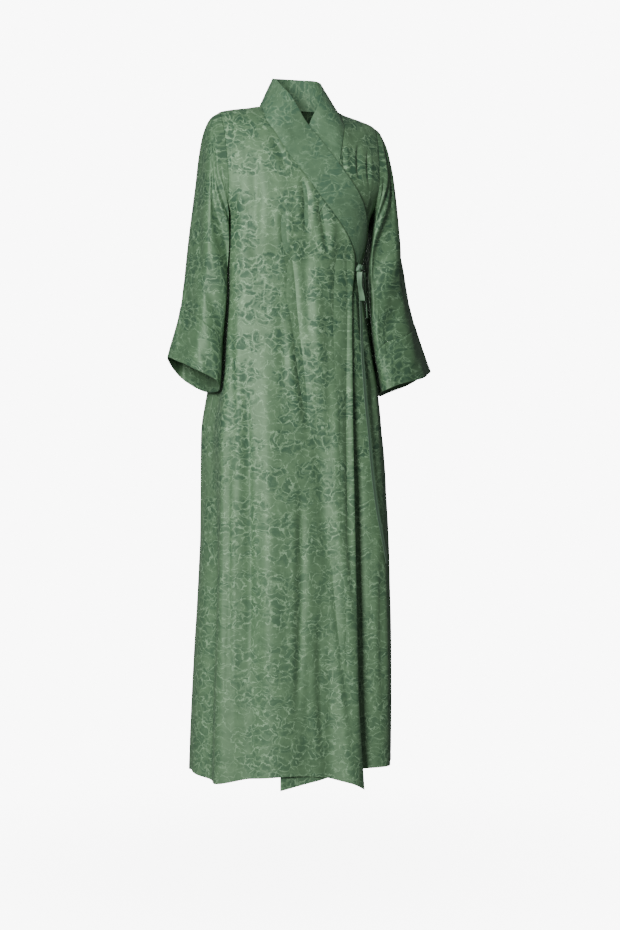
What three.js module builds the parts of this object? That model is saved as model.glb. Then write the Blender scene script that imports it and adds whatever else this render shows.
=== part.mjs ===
// Wrap abaya: a full-length robe of satin jacquard in its worn shape, with no wearer in it.
// It has a stand-up shawl collar, two fronts that cross over, one back, two wide sleeves and a
// narrow tie of its own cloth at the left waist. All sizes are in millimetres. The wearer would
// face -Y, with the left hand at +X and +Z up. The origin lies midway between the two points
// where the collar meets the shoulder seams.

import * as THREE from "three";

// Driving sizes
const LENGTH = 1405; // shoulder seam down to the hem
const CLOTH = 2; // wall of a single panel
const COLLAR_CLOTH = 3; // wall of the collar: cloth, interfacing and cloth
const SEAM_GAP = 0.3; // between two pieces that are sewn together
const NECK_HALF = 79; // from the middle to the collar seam on the shoulder
const UNDERARM_DROP = 240; // origin down to the underarm
const CUFF_FROM = 0.8; // where the cuff starts, as a share of the sleeve's length
const CUFF_CLOTH = 3; // wall of the cuff: cloth, interfacing and cloth
const CUFF_GAP = 0.0012; // gap at the cuff's seam, as a share of the sleeve's length
const CUFF_PROUD = 1.2; // how far the cuff stands off the sleeve's line
const LAP = 4.5; // how far the right front stands off the left front under it
const LAP_START_X = -150; // it does so from here, and fully from LAP_FULL_X
const LAP_FULL_X = -90;
const LAP_TOP = 5; // depth below the shoulder seam at which it starts to, and fully does
const LAP_FULL = 45;
const TIE_WIDTH = 11;
const TIE_CLOTH = 1.6; // wall of the tie: two layers, pressed
const TIE_LEVEL = -343; // height of the knot

// Colours of the cloth's right side on each kind of piece
const COLOUR = { panel: 0x6f9373, collar: 0x668b6c, sleeve: 0x688a6b, tie: 0x86b594 };

// The armhole seams lie in these planes, which lean in towards the underarm
const ARMHOLE = {
  right: { side: -1, topX: 170, topZ: -17, bottomX: 168 },
  left: { side: 1, topX: 170, topZ: -30, bottomX: 150 },
};

// The garment from above at each height: how far it stands out to its right and left side, how
// far its front and back stand from the middle line, where that line is in Y, and how square the
// corners are (2 is an ellipse). The tie draws in the left side.
const BODY = [
  { z: 40, right: 205, left: 203, front: 128, back: 104, middle: 5, square: 2.5 },
  { z: -150, right: 205, left: 200, front: 128, back: 104, middle: 5, square: 2.5 },
  { z: -200, right: 192, left: 170, front: 128, back: 104, middle: 5, square: 2.6 },
  { z: -UNDERARM_DROP, right: 168, left: 150, front: 127, back: 103, middle: 5, square: 2.8 },
  { z: -290, right: 164, left: 143, front: 124, back: 101, middle: 7, square: 3 },
  { z: -343, right: 165, left: 134, front: 117, back: 99, middle: 8, square: 3 },
  { z: -450, right: 168, left: 143, front: 122, back: 106, middle: 10, square: 3 },
  { z: -530, right: 174, left: 156, front: 126, back: 112, middle: 11, square: 3 },
  { z: -600, right: 182, left: 167, front: 130, back: 118, middle: 12, square: 3 },
  { z: -690, right: 195, left: 177, front: 134, back: 126, middle: 14, square: 3 },
  { z: -800, right: 197, left: 189, front: 140, back: 134, middle: 16, square: 2.9 },
  { z: -1020, right: 205, left: 199, front: 151, back: 147, middle: 20, square: 2.8 },
  { z: -1220, right: 214, left: 201, front: 160, back: 157, middle: 24, square: 2.8 },
  { z: -1440, right: 221, left: 203, front: 170, back: 168, middle: 27, square: 2.7 },
];
const CORNER_X = 140; // sideways place at which the front and back turn into the sides
const CORNER_SHARE = 0.85; // or this share of the way to the side, where that is less

// Height of the shoulder seam at each place along it, from the right side to the left. The left
// shoulder is held a little lower.
const SHOULDER = [
  { x: -205, z: -64 },
  { x: -170, z: -17 },
  { x: -148, z: -11 },
  { x: -110, z: -5 },
  { x: -NECK_HALF, z: 0 },
  { x: NECK_HALF, z: 0 },
  { x: 104, z: -9 },
  { x: 140, z: -19 },
  { x: 170, z: -30 },
  { x: 205, z: -72 },
];
const FRONT_ROUNDING = 230; // depth below the shoulder seam at which the front is full
const BACK_ROUNDING = 150;
const ROUNDING_POWER = 1.8;
const FOLD_CLEAR = 45; // distance from an armhole over which folds come in
const BACK_NECK_SCOOP = 22; // how far under the seam's own curve the back neck is cut
const BACK_NECK_RISE = 6;

// Long soft folds of the skirt. Turn is the direction in degrees from the front middle, towards
// the left side, at the top and at the hem; depth is outwards, and below zero for a trough.
const FOLDS = [
  { from: -120, full: -330, topTurn: -60, hemTurn: -60, width: 8, depth: 12 },
  { from: -250, full: -400, topTurn: -84, hemTurn: -74, width: 8, depth: -8 },
  { from: -420, full: -1250, topTurn: -47, hemTurn: -46, width: 7, depth: -14 },
  { from: -420, full: -1250, topTurn: -30, hemTurn: -30, width: 11, depth: 8 },
  { from: -160, full: -320, topTurn: -8, hemTurn: -6, width: 7, depth: -5 },
  { from: -330, full: -800, topTurn: 6, hemTurn: 11, width: 5.5, depth: -11 },
  { from: -360, full: -900, topTurn: 20, hemTurn: 24, width: 5, depth: 8 },
  { from: -620, full: -1150, topTurn: -72, hemTurn: -71, width: 5, depth: -14 },
  { from: -620, full: -1200, topTurn: -84, hemTurn: -83, width: 6, depth: 8 },
  { from: -650, full: -1200, topTurn: 52, hemTurn: 53, width: 7, depth: 8 },
  { from: -650, full: -1200, topTurn: 68, hemTurn: 68, width: 5, depth: -10 },
  { from: -650, full: -1200, topTurn: 82, hemTurn: 83, width: 6, depth: 7 },
  { from: -500, full: -1200, topTurn: 106, hemTurn: 104, width: 7, depth: -12 },
  { from: -520, full: -1200, topTurn: 124, hemTurn: 122, width: 7, depth: 10 },
  { from: -450, full: -1150, topTurn: 142, hemTurn: 140, width: 7, depth: -14 },
  { from: -480, full: -1200, topTurn: 158, hemTurn: 159, width: 8, depth: 9 },
  { from: -430, full: -1150, topTurn: 178, hemTurn: 180, width: 8, depth: -12 },
  { from: -480, full: -1200, topTurn: -160, hemTurn: -160, width: 8, depth: 10 },
  { from: -450, full: -1150, topTurn: -141, hemTurn: -142, width: 7, depth: -13 },
  { from: -520, full: -1200, topTurn: -124, hemTurn: -123, width: 7, depth: 10 },
  { from: -560, full: -1200, topTurn: -106, hemTurn: -105, width: 6, depth: -11 },
];
// The left front alone sinks into a deep trough beside the edge that covers it.
const LEFT_FOLDS = [
  { from: -360, full: -1000, topTurn: 41, hemTurn: 37, width: 7, depth: -24 },
];

// Height of the hem in each direction, for the three panels
const RIGHT_HEM = [
  { turn: -90, z: -1394 },
  { turn: -63, z: -1409 },
  { turn: -44, z: -1396 },
  { turn: -20, z: -1390 },
  { turn: 5, z: -1396 },
  { turn: 20, z: -1408 },
  { turn: 33, z: -1427 },
];
const LEFT_HEM = [
  { turn: -28, z: -1421 },
  { turn: -8, z: -1408 },
  { turn: 36, z: -1388 },
  { turn: 53, z: -1386 },
  { turn: 90, z: -1388 },
];
const BACK_HEM = [
  { turn: 90, z: -1388 },
  { turn: 122, z: -1409 },
  { turn: 140, z: -1402 },
  { turn: 180, z: -1407 },
  { turn: 218, z: -1402 },
  { turn: 240, z: -1409 },
  { turn: 270, z: -1394 },
];
const HEM_SWAY_FROM = -900; // below this the panels start to hang to their own hem

// Where each front ends towards the middle: along the collar seam, then its own free edge
const RIGHT_EDGE = [
  { z: 0, x: -NECK_HALF },
  { z: -32, x: -80 },
  { z: -72, x: -65 },
  { z: -111, x: -48 },
  { z: -153, x: -20 },
  { z: -206, x: 17 },
  { z: -255, x: 56 },
  { z: -290, x: 80 },
  { z: -330, x: 95 },
  { z: -365, x: 92 },
  { z: -410, x: 87 },
  { z: -600, x: 84 },
  { z: -1000, x: 86 },
  { z: -1219, x: 89 },
  { z: -LENGTH, x: 101 },
];
const LEFT_EDGE = [
  { z: 0, x: 80 },
  { z: -35, x: 84 },
  { z: -72, x: 75 },
  { z: -104, x: 66 },
  { z: -138, x: 57 },
  { z: -172, x: 43 },
  { z: -215, x: 22 },
  { z: -262, x: -8 },
  { z: -305, x: -42 },
  { z: -330, x: -64 },
  { z: -400, x: -70 },
  { z: -600, x: -70 },
  { z: -1000, x: -72 },
  { z: -LENGTH, x: -76 },
];

// The collar's free edge, at the level on the seam that it lies across from. On the chest its
// depth follows the body; standing is how far it leaves the body to stand at depth y.
const RIGHT_COLLAR = [
  { level: 0, x: -48, z: 57, y: -8, standing: 1 },
  { level: -12, x: -42, z: 39, y: -30, standing: 1 },
  { level: -26, x: -34, z: 21, y: -51, standing: 1 },
  { level: -45, x: -20, z: -8, y: -70, standing: 0.9 },
  { level: -68, x: -6, z: -35, y: -82, standing: 0.5 },
  { level: -95, x: 10, z: -60, y: -92, standing: 0 },
  { level: -125, x: 33, z: -97, y: -100, standing: 0 },
  { level: -155, x: 53, z: -128, y: -108, standing: 0 },
  { level: -185, x: 75, z: -160, y: -110, standing: 0 },
  { level: -215, x: 97, z: -192, y: -110, standing: 0 },
  { level: -245, x: 112, z: -222, y: -110, standing: 0 },
  { level: -270, x: 119, z: -252, y: -110, standing: 0 },
  { level: -295, x: 117, z: -287, y: -110, standing: 0 },
  { level: -330, x: 103, z: -334, y: -110, standing: 0 },
];
const LEFT_COLLAR = [
  { level: 0, x: 49, z: 54, y: -8, standing: 1 },
  { level: -12, x: 44, z: 35, y: -30, standing: 1 },
  { level: -26, x: 37, z: 15, y: -50, standing: 1 },
  { level: -45, x: 25, z: -10, y: -66, standing: 0.9 },
  { level: -68, x: 13, z: -33, y: -76, standing: 0.5 },
  { level: -95, x: 2, z: -58, y: -84, standing: 0 },
  { level: -125, x: -12, z: -86, y: -95, standing: 0 },
  { level: -155, x: -27, z: -116, y: -100, standing: 0 },
  { level: -185, x: -42, z: -148, y: -100, standing: 0 },
  { level: -215, x: -55, z: -182, y: -100, standing: 0 },
  { level: -245, x: -65, z: -218, y: -100, standing: 0 },
  { level: -270, x: -71, z: -250, y: -100, standing: 0 },
  { level: -295, x: -74, z: -285, y: -100, standing: 0 },
  { level: -330, x: -73, z: -334, y: -100, standing: 0 },
];
// The collar round the back of the neck, from the shoulder seam to the centre back
const NECK_BACK = [
  { share: 0, seamX: 79, seamY: 5, seamZ: 0, edgeX: 48.5, edgeY: -8, edgeZ: 56 },
  { share: 0.25, seamX: 73, seamY: 27, seamZ: 1.6, edgeX: 48, edgeY: 14, edgeZ: 62 },
  { share: 0.5, seamX: 57, seamY: 45, seamZ: 3.8, edgeX: 40, edgeY: 34, edgeZ: 67 },
  { share: 0.75, seamX: 31, seamY: 58, seamZ: 6.2, edgeX: 23, edgeY: 47, edgeZ: 70 },
  { share: 1, seamX: 0, seamY: 63, seamZ: 7.2, edgeX: 0, edgeY: 52, edgeZ: 71 },
];
const COLLAR_START = 0.012; // share of its width at which the collar starts, clear of its seam
const COLLAR_PROUD = 0.6; // the collar's thicker wall stands this far off its panel
const COLLAR_LIFT = 1.7; // how far it stands over the back neck's edge
const COLLAR_BULGE = 5; // and its standing part is this full between seam and edge
const BACK_BULGE = 2.5; // and this full round the back
const COLLAR_END = -330; // lowest level of the collar's seam
const COLLAR_LYING_TOP = -8; // highest place at which it can lie on the chest
const COLLAR_ROOT = 0.5; // share of its width that rises with the seam where it starts to stand
const COLLAR_BLEND = 0.5; // share of the back neck over which it leaves the front's shape

// Sleeves: the outer line from the shoulder to the cuff's point, the inner line from the
// underarm to the cuff, the depth to the front and back, and how sharply the outer line is
// folded (0 is round). Lean draws the front of the body side in towards the body, by that
// share of the depth. Swing sets the outer line back and the inner line forward, by that share
// of the half width. The cuff hangs level from front to back unless drop says otherwise.
const RIGHT_SLEEVE = [
  { at: 0, outX: 170, outZ: -17, inX: 168, inZ: -240, front: 78, back: 80,
    fold: 0, lean: 0, swing: 0, drop: 0 },
  { at: 0.05, outX: 184, outZ: -26, inX: 172, inZ: -246, front: 80, back: 82,
    fold: 0, lean: 0, swing: 0, drop: 0 },
  { at: 0.1, outX: 194, outZ: -40, inX: 175, inZ: -253, front: 81, back: 83,
    fold: 0, lean: 0.08, swing: 0.04, drop: 0 },
  { at: 0.16, outX: 201, outZ: -62, inX: 178, inZ: -264, front: 81, back: 84,
    fold: 0, lean: 0.18, swing: 0.1, drop: 0 },
  { at: 0.23, outX: 205, outZ: -92, inX: 181, inZ: -280, front: 80, back: 84,
    fold: 0, lean: 0.29, swing: 0.2, drop: 0 },
  { at: 0.33, outX: 211, outZ: -145, inX: 183.5, inZ: -312, front: 80, back: 84,
    fold: 0.1, lean: 0.36, swing: 0.3, drop: 0 },
  { at: 0.45, outX: 220, outZ: -215, inX: 185.5, inZ: -360, front: 81, back: 85,
    fold: 0.25, lean: 0.4, swing: 0.4, drop: 0 },
  { at: 0.58, outX: 230.5, outZ: -295, inX: 187, inZ: -418, front: 82, back: 85,
    fold: 0.4, lean: 0.41, swing: 0.4, drop: 0 },
  { at: 0.7, outX: 240, outZ: -368, inX: 188, inZ: -474, front: 83, back: 84,
    fold: 0.55, lean: 0.38, swing: 0.4, drop: 0 },
  { at: CUFF_FROM, outX: 247, outZ: -424, inX: 188.5, inZ: -518, front: 83, back: 83,
    fold: 0.7, lean: 0.34, swing: 0.4, drop: 0 },
  { at: 0.9, outX: 260.5, outZ: -478, inX: 188.5, inZ: -562, front: 82, back: 82,
    fold: 0.85, lean: 0.3, swing: 0.4, drop: 0 },
  { at: 1, outX: 275, outZ: -528, inX: 188, inZ: -602, front: 80, back: 80,
    fold: 0.95, lean: 0.26, swing: 0.4, drop: 4 },
];
const LEFT_SLEEVE = [
  { at: 0, outX: 170, outZ: -30, inX: 150, inZ: -240, front: 78, back: 80,
    fold: 0, lean: 0, swing: 0, drop: 0 },
  { at: 0.05, outX: 182, outZ: -38, inX: 153, inZ: -246, front: 80, back: 82,
    fold: 0, lean: 0, swing: 0, drop: 0 },
  { at: 0.1, outX: 189, outZ: -50, inX: 155, inZ: -253, front: 81, back: 83,
    fold: 0, lean: 0.07, swing: 0.1, drop: 0 },
  { at: 0.16, outX: 197, outZ: -70, inX: 157, inZ: -264, front: 81, back: 84,
    fold: 0, lean: 0.14, swing: 0.22, drop: 0 },
  { at: 0.23, outX: 203, outZ: -98, inX: 157, inZ: -280, front: 80, back: 84,
    fold: 0, lean: 0.22, swing: 0.38, drop: 0 },
  { at: 0.33, outX: 212, outZ: -150, inX: 155, inZ: -312, front: 79, back: 84,
    fold: 0.1, lean: 0.32, swing: 0.52, drop: 0 },
  { at: 0.45, outX: 226.5, outZ: -222, inX: 153, inZ: -360, front: 78, back: 85,
    fold: 0.25, lean: 0.4, swing: 0.64, drop: 0 },
  { at: 0.58, outX: 246, outZ: -312, inX: 153, inZ: -418, front: 77, back: 85,
    fold: 0.4, lean: 0.42, swing: 0.68, drop: 3 },
  { at: 0.7, outX: 264.5, outZ: -388, inX: 156, inZ: -474, front: 76, back: 84,
    fold: 0.55, lean: 0.41, swing: 0.7, drop: 6 },
  { at: CUFF_FROM, outX: 280, outZ: -447, inX: 161, inZ: -520, front: 76, back: 83,
    fold: 0.7, lean: 0.37, swing: 0.7, drop: 9 },
  { at: 0.9, outX: 301, outZ: -499, inX: 167.5, inZ: -562, front: 76, back: 82,
    fold: 0.85, lean: 0.32, swing: 0.7, drop: 12 },
  { at: 1, outX: 322, outZ: -550, inX: 173, inZ: -599, front: 76, back: 80,
    fold: 0.95, lean: 0.27, swing: 0.7, drop: 16 },
];
const ARM_MIDDLE = 5; // the sleeves' middle line in Y
const ARMHOLE_EASE = 0.3; // share of a sleeve over which it takes its own shape
const LEAN_FROM = 0.3; // place across a sleeve, 1 out and -1 in, where the lean starts
const LEAN_TO = -0.5; // and where it is full
const FOLD_END = 0.7; // share of a sleeve fold at which it starts to die out
const TOP_CLOSER = 1.25; // above 1, a sleeve's rings stand closer together at the top
// Hollow and raised folds that run down and inwards over each sleeve. Round is the place in
// degrees about the sleeve: 0 is the outer line, 90 the front, 180 the body side, 270 the back.
const SLEEVE_FOLDS = [
  { from: 0.12, to: 0.62, startRound: 38, endRound: 128, width: 12, depth: -8 },
  { from: 0.2, to: 0.75, startRound: 24, endRound: 88, width: 13, depth: 4 },
  { from: 0.5, to: 0.92, startRound: 70, endRound: 122, width: 11, depth: -6 },
  { from: 0.35, to: 1, startRound: 40, endRound: 46, width: 13, depth: -5 },
  { from: 0.15, to: 0.7, startRound: 318, endRound: 240, width: 13, depth: -7 },
  { from: 0.45, to: 1, startRound: 300, endRound: 292, width: 14, depth: -5 },
];

// The tie: where its strips run, as places on the body and how far they stand off it
const LONG_TAIL = [
  { x: 104, z: -357, off: 8 },
  { x: 104, z: -380, off: 7 },
  { x: 103, z: -415, off: 6 },
  { x: 102, z: -460, off: 6 },
  { x: 101, z: -520, off: 7 },
  { x: 103, z: -580, off: 8 },
  { x: 108, z: -635, off: 8 },
  { x: 116, z: -690, off: 8 },
  { x: 121, z: -745, off: 8 },
  { x: 128, z: -795, off: 8 },
  { x: 137, z: -848, off: 7 },
  { x: 150, z: -910, off: 6 },
  { x: 161, z: -962, off: 5 },
];
const SHORT_TAIL = [
  { x: 112, z: -352, off: 12 },
  { x: 115, z: -372, off: 11 },
  { x: 118, z: -396, off: 10 },
  { x: 121, z: -424, off: 9 },
  { x: 124, z: -447, off: 8 },
];
const SIDE_RUN = [
  { x: 112, z: -341, off: 6 },
  { x: 119, z: -340, off: 5 },
  { x: 125, z: -339, off: 4 },
  { x: 130, z: -338, off: 3.5 },
  { x: 133.5, z: -338, off: 3 },
];
const BOW_DROP = 60;
const BOW_HALF = 7; // half the distance between the bow's two strands
const BOW_OFF = 17; // how far the bow stands off the body
const KNOT = { x: 98, z: TIE_LEVEL, off: 14, wide: 16, deep: 13, high: 15 };

// Rows and columns of the walls
const CHEST_LEVELS = [0, -5, -12, -26, -45, -68, -95, -125, -155, -185, -205, -222, -234, -240];
const WAIST_LEVELS = [-245, -270, -295, -330, -365, -410];
const SKIRT_ROWS = 11;
// Columns of each panel, with those in each side's turn counted apart
const COLUMNS = { frontRight: 17, frontLeft: 13, back: 17, side: 7, collar: 5, sleeve: 24 };
const SLEEVE_ROWS = 13;
const CUFF_ROWS = 4;
const NECK_BACK_ROWS = 7;
const ARMHOLE_PASSES = 5; // passes in finding where a row meets an armhole's plane
const DENSE = 120; // steps on a stretch of a row before it is divided evenly
const STEEPEST = 0.6; // least lean of a wall from its seam's plane

const RADIANS = Math.PI / 180;
const mix = (from, to, share) => from + (to - from) * share;
const clamp = (value, low, high) => Math.min(high, Math.max(low, value));

function smooth(from, to, value) {
  const t = clamp((value - from) / (to - from), 0, 1);
  return t * t * (3 - 2 * t);
}

// A smooth curve through one column of a table, with no overshoot between its rows
function column(rows, key, name) {
  const knots = rows.map((row) => [row[key], row[name]]).sort((p, q) => p[0] - q[0]);
  const slope = (i) => (knots[i + 1][1] - knots[i][1]) / (knots[i + 1][0] - knots[i][0]);
  const tangent = (i) => {
    if (i === 0) return slope(0);
    if (i === knots.length - 1) return slope(i - 1);
    const before = slope(i - 1);
    const after = slope(i);
    return before * after <= 0 ? 0 : (2 * before * after) / (before + after);
  };
  return (at) => {
    let i = 0;
    while (i < knots.length - 2 && at > knots[i + 1][0]) i += 1;
    const [x0, y0] = knots[i];
    const [x1, y1] = knots[i + 1];
    const span = x1 - x0;
    const t = clamp((at - x0) / span, 0, 1);
    const rise = t * t * (3 - 2 * t);
    const leaving = t * (1 - t) * (1 - t);
    const arriving = t * t * (1 - t);
    return mix(y0, y1, rise) + span * (tangent(i) * leaving - tangent(i + 1) * arriving);
  };
}

const halves = { right: column(BODY, "z", "right"), left: column(BODY, "z", "left") };
const half = (level, x) => (x < 0 ? halves.right(level) : halves.left(level));
const frontDepth = column(BODY, "z", "front");
const backDepth = column(BODY, "z", "back");
const middle = column(BODY, "z", "middle");
const square = column(BODY, "z", "square");
const shoulder = column(SHOULDER, "x", "z");

// How much a row at this level still follows the slope of the shoulder
const shoulderShare = (level) => 1 - smooth(0, UNDERARM_DROP, -level);

function rounding(drop, reach) {
  const left = 1 - clamp(drop / reach, 0, 1);
  return (1 - left ** ROUNDING_POWER) ** (1 / ROUNDING_POWER);
}

function foldDepth(folds, turn, z) {
  let total = 0;
  for (const fold of folds) {
    const share = clamp((fold.from - z) / (fold.from + LENGTH), 0, 1);
    const centre = mix(fold.topTurn, fold.hemTurn, share);
    const away = (((turn - centre + 540) % 360) - 180) / fold.width;
    total += fold.depth * smooth(-fold.from, -fold.full, -z) * Math.exp(-0.5 * away * away);
  }
  return total;
}

// Folds die out towards an armhole's plane
const armholeX = ({ topX, topZ, bottomX }, z) => mix(topX, bottomX, (topZ - z) / (topZ + UNDERARM_DROP));
function foldShare(x, z) {
  const inside = armholeX(x < 0 ? ARMHOLE.right : ARMHOLE.left, z) - Math.abs(x);
  return Math.max(smooth(0, FOLD_CLEAR, inside), smooth(UNDERARM_DROP, UNDERARM_DROP + FOLD_CLEAR, -z));
}

// A point of the worn body at a level below the shoulder seam. Angle runs from 0 in the middle
// to 90 degrees at the left side and -90 at the right; facing is -1 for the front, 1 for the
// back. Off is how far the point stands outside the surface.
function bodyPoint(angle, level, facing, hem, extraFolds = [], off = 0) {
  const power = 2 / square(level);
  const sine = Math.sin(angle);
  const x = half(level, sine) * Math.sign(sine) * Math.abs(sine) ** power;
  const share = shoulderShare(level);
  const seam = shoulder(x);
  const inNeck = clamp(1 - (x / NECK_HALF) ** 2, 0, 1);
  const scoop = facing > 0 ? BACK_NECK_SCOOP * inNeck ** 1.1 : 0;
  const drop = -level + seam * (1 - share) + scoop;
  const depth = facing > 0
    ? backDepth(level) * rounding(drop, BACK_ROUNDING)
    : frontDepth(level) * rounding(drop, FRONT_ROUNDING);
  const y = facing * depth * Math.abs(Math.cos(angle)) ** power;
  const turn = Math.atan2(x, -y) / RADIANS;
  let z = level + seam * share + (facing > 0 ? BACK_NECK_RISE * inNeck * share : 0);
  const hemTurn = facing > 0 && turn < 0 ? turn + 360 : turn;
  z += (hem(hemTurn) + LENGTH) * smooth(-HEM_SWAY_FROM, LENGTH, -level);
  const folds = foldDepth(FOLDS, turn, z) + foldDepth(extraFolds, turn, z);
  const out = folds * foldShare(x, z) + off;
  const radius = Math.hypot(x, y) || 1;
  return new THREE.Vector3(x + (out * x) / radius, middle(level) + y + (out * y) / radius, z);
}

// The angle at which a row reaches a sideways place x
function angleAt(x, level) {
  const share = clamp(Math.abs(x) / half(level, x), 0, 1) ** (square(level) / 2);
  return Math.sign(x) * Math.asin(share);
}

// Divides a curve into equal lengths, leaving out a seam's gap at either end
function divide(points, count, startGap, endGap) {
  const along = [0];
  for (let i = 1; i < points.length; i += 1) {
    along.push(along[i - 1] + points[i].distanceTo(points[i - 1]));
  }
  const end = along[along.length - 1] - endGap;
  const made = [];
  let i = 1;
  for (let k = 0; k <= count; k += 1) {
    const at = mix(startGap, end, k / count);
    while (i < points.length - 1 && along[i] < at) i += 1;
    const share = (at - along[i - 1]) / (along[i] - along[i - 1]);
    made.push(points[i - 1].clone().lerp(points[i], share));
  }
  return made;
}

// One row of a panel, through stretches that each have their own number of columns, so that the
// columns hang straight past the armholes. A seam's gap is left at both ends.
function row(stops, counts, pointAt) {
  const made = [];
  for (let k = 0; k < counts.length; k += 1) {
    const dense = Array.from({ length: DENSE + 1 }, (_, i) =>
      pointAt(mix(stops[k], stops[k + 1], i / DENSE)));
    const startGap = k === 0 ? SEAM_GAP : 0;
    const endGap = k === counts.length - 1 ? SEAM_GAP : 0;
    const points = divide(dense, counts[k], startGap, endGap);
    made.push(...(k === 0 ? points : points.slice(1)));
  }
  return made;
}

const skirtLevels = Array.from({ length: SKIRT_ROWS }, (_, i) =>
  mix(WAIST_LEVELS[WAIST_LEVELS.length - 1], -LENGTH, (i + 1) / SKIRT_ROWS));
const panelLevels = [...CHEST_LEVELS, ...WAIST_LEVELS, ...skirtLevels];

// The angle at which a row ends: at the armhole's plane, or below it at the side seam
function sideAngle(armhole, level) {
  if (level < -UNDERARM_DROP) return armhole.side * Math.PI / 2;
  let x = armhole.topX;
  for (let i = 0; i < ARMHOLE_PASSES; i += 1) {
    x = armholeX(armhole, level + shoulder(armhole.side * x) * shoulderShare(level));
  }
  return angleAt(armhole.side * x, level);
}

// The sideways place of the corner, which stays well inside the body where that is narrow
function cornerX(side, level) {
  return Math.min(CORNER_X, CORNER_SHARE * half(level, side));
}

// How far the right front and its collar stand off the layer beneath
function lapOff(x, level) {
  return LAP * smooth(LAP_START_X, LAP_FULL_X, x) * smooth(LAP_TOP, LAP_FULL, -level);
}

// A wall of cloth: outer points in rows, and inner points a thickness behind them. Flat gives
// the planes in which the wall's face at a point has to stay, as it does along a seam.
function clothWall(rows, thickness, { round = false, flat = () => [], inwards = false } = {}) {
  const down = rows.length;
  const across = rows[0].length;
  const at = (i, j) => rows[clamp(i, 0, down - 1)][round ? (j + across) % across : clamp(j, 0, across - 1)];
  const positions = [];
  const inner = [];
  for (let i = 0; i < down; i += 1) {
    for (let j = 0; j < across; j += 1) {
      const along = at(i, j + 1).clone().sub(at(i, j - 1));
      const downward = at(i + 1, j).clone().sub(at(i - 1, j));
      const normal = along.cross(downward).multiplyScalar(inwards ? -1 : 1);
      normal.normalize();
      for (const plane of flat(i, j)) normal.projectOnPlane(plane);
      const depth = thickness / Math.max(normal.length(), STEEPEST) ** 2;
      positions.push(...at(i, j).toArray());
      inner.push(...at(i, j).clone().addScaledVector(normal, -depth).toArray());
    }
  }
  const index = [];
  const quad = (a, b, c, d) => (inwards ? index.push(a, b, c, a, c, d) : index.push(a, c, b, a, d, c));
  const outside = (i, j) => i * across + (j % across);
  const inside = (i, j) => down * across + outside(i, j);
  const strips = round ? across : across - 1;
  for (let i = 0; i < down - 1; i += 1) {
    for (let j = 0; j < strips; j += 1) {
      quad(outside(i, j), outside(i + 1, j), outside(i + 1, j + 1), outside(i, j + 1));
      quad(inside(i, j), inside(i, j + 1), inside(i + 1, j + 1), inside(i + 1, j));
    }
  }
  for (let j = 0; j < strips; j += 1) {
    quad(outside(0, j), outside(0, j + 1), inside(0, j + 1), inside(0, j));
    quad(outside(down - 1, j + 1), outside(down - 1, j), inside(down - 1, j), inside(down - 1, j + 1));
  }
  if (!round) {
    for (let i = 0; i < down - 1; i += 1) {
      quad(outside(i + 1, 0), outside(i, 0), inside(i, 0), inside(i + 1, 0));
      quad(outside(i, strips), outside(i + 1, strips), inside(i + 1, strips), inside(i, strips));
    }
  }
  const geometry = new THREE.BufferGeometry();
  geometry.setAttribute("position", new THREE.Float32BufferAttribute([...positions, ...inner], 3));
  geometry.setIndex(index);
  return geometry;
}

const garment = new THREE.Group();

function addPiece(name, geometry, colour) {
  const material = new THREE.MeshStandardMaterial({ color: colour, roughness: 0.45, metalness: 0 });
  const mesh = new THREE.Mesh(geometry, material);
  mesh.name = name;
  garment.add(mesh);
}

// The planes of the seams: shoulder and side seams across Y, the armholes across their own
const ACROSS_X = new THREE.Vector3(1, 0, 0);
const ACROSS_Y = new THREE.Vector3(0, 1, 0);
function armholePlane({ side, topX, topZ, bottomX }) {
  return new THREE.Vector3(side * (topZ + UNDERARM_DROP), 0, bottomX - topX).normalize();
}
const planes = { right: armholePlane(ARMHOLE.right), left: armholePlane(ARMHOLE.left) };
const armholeRows = CHEST_LEVELS.length - 1;
const sidePlane = (i, name) => (i < armholeRows ? planes[name] : ACROSS_Y);

// Back: one panel from the shoulder seams and the neck down to the hem
const backHem = column(BACK_HEM, "turn", "z");
const backCounts = [COLUMNS.side, COLUMNS.back, COLUMNS.side];
const backLast = 2 * COLUMNS.side + COLUMNS.back;
const backRows = panelLevels.map((level) => row(
  [
    sideAngle(ARMHOLE.left, level),
    angleAt(cornerX(1, level), level),
    angleAt(-cornerX(-1, level), level),
    sideAngle(ARMHOLE.right, level),
  ],
  backCounts,
  (angle) => bodyPoint(angle, level, 1, backHem),
));
for (const point of backRows[0]) point.y += SEAM_GAP;
addPiece(
  "back",
  clothWall(backRows, CLOTH, {
    flat: (i, j) => {
      const planesHere = i === 0 ? [ACROSS_Y] : [];
      if (j === 0) planesHere.push(sidePlane(i, "left"));
      if (j === backLast) planesHere.push(sidePlane(i, "right"));
      return planesHere;
    },
    inwards: true,
  }),
  COLOUR.panel,
);

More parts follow.
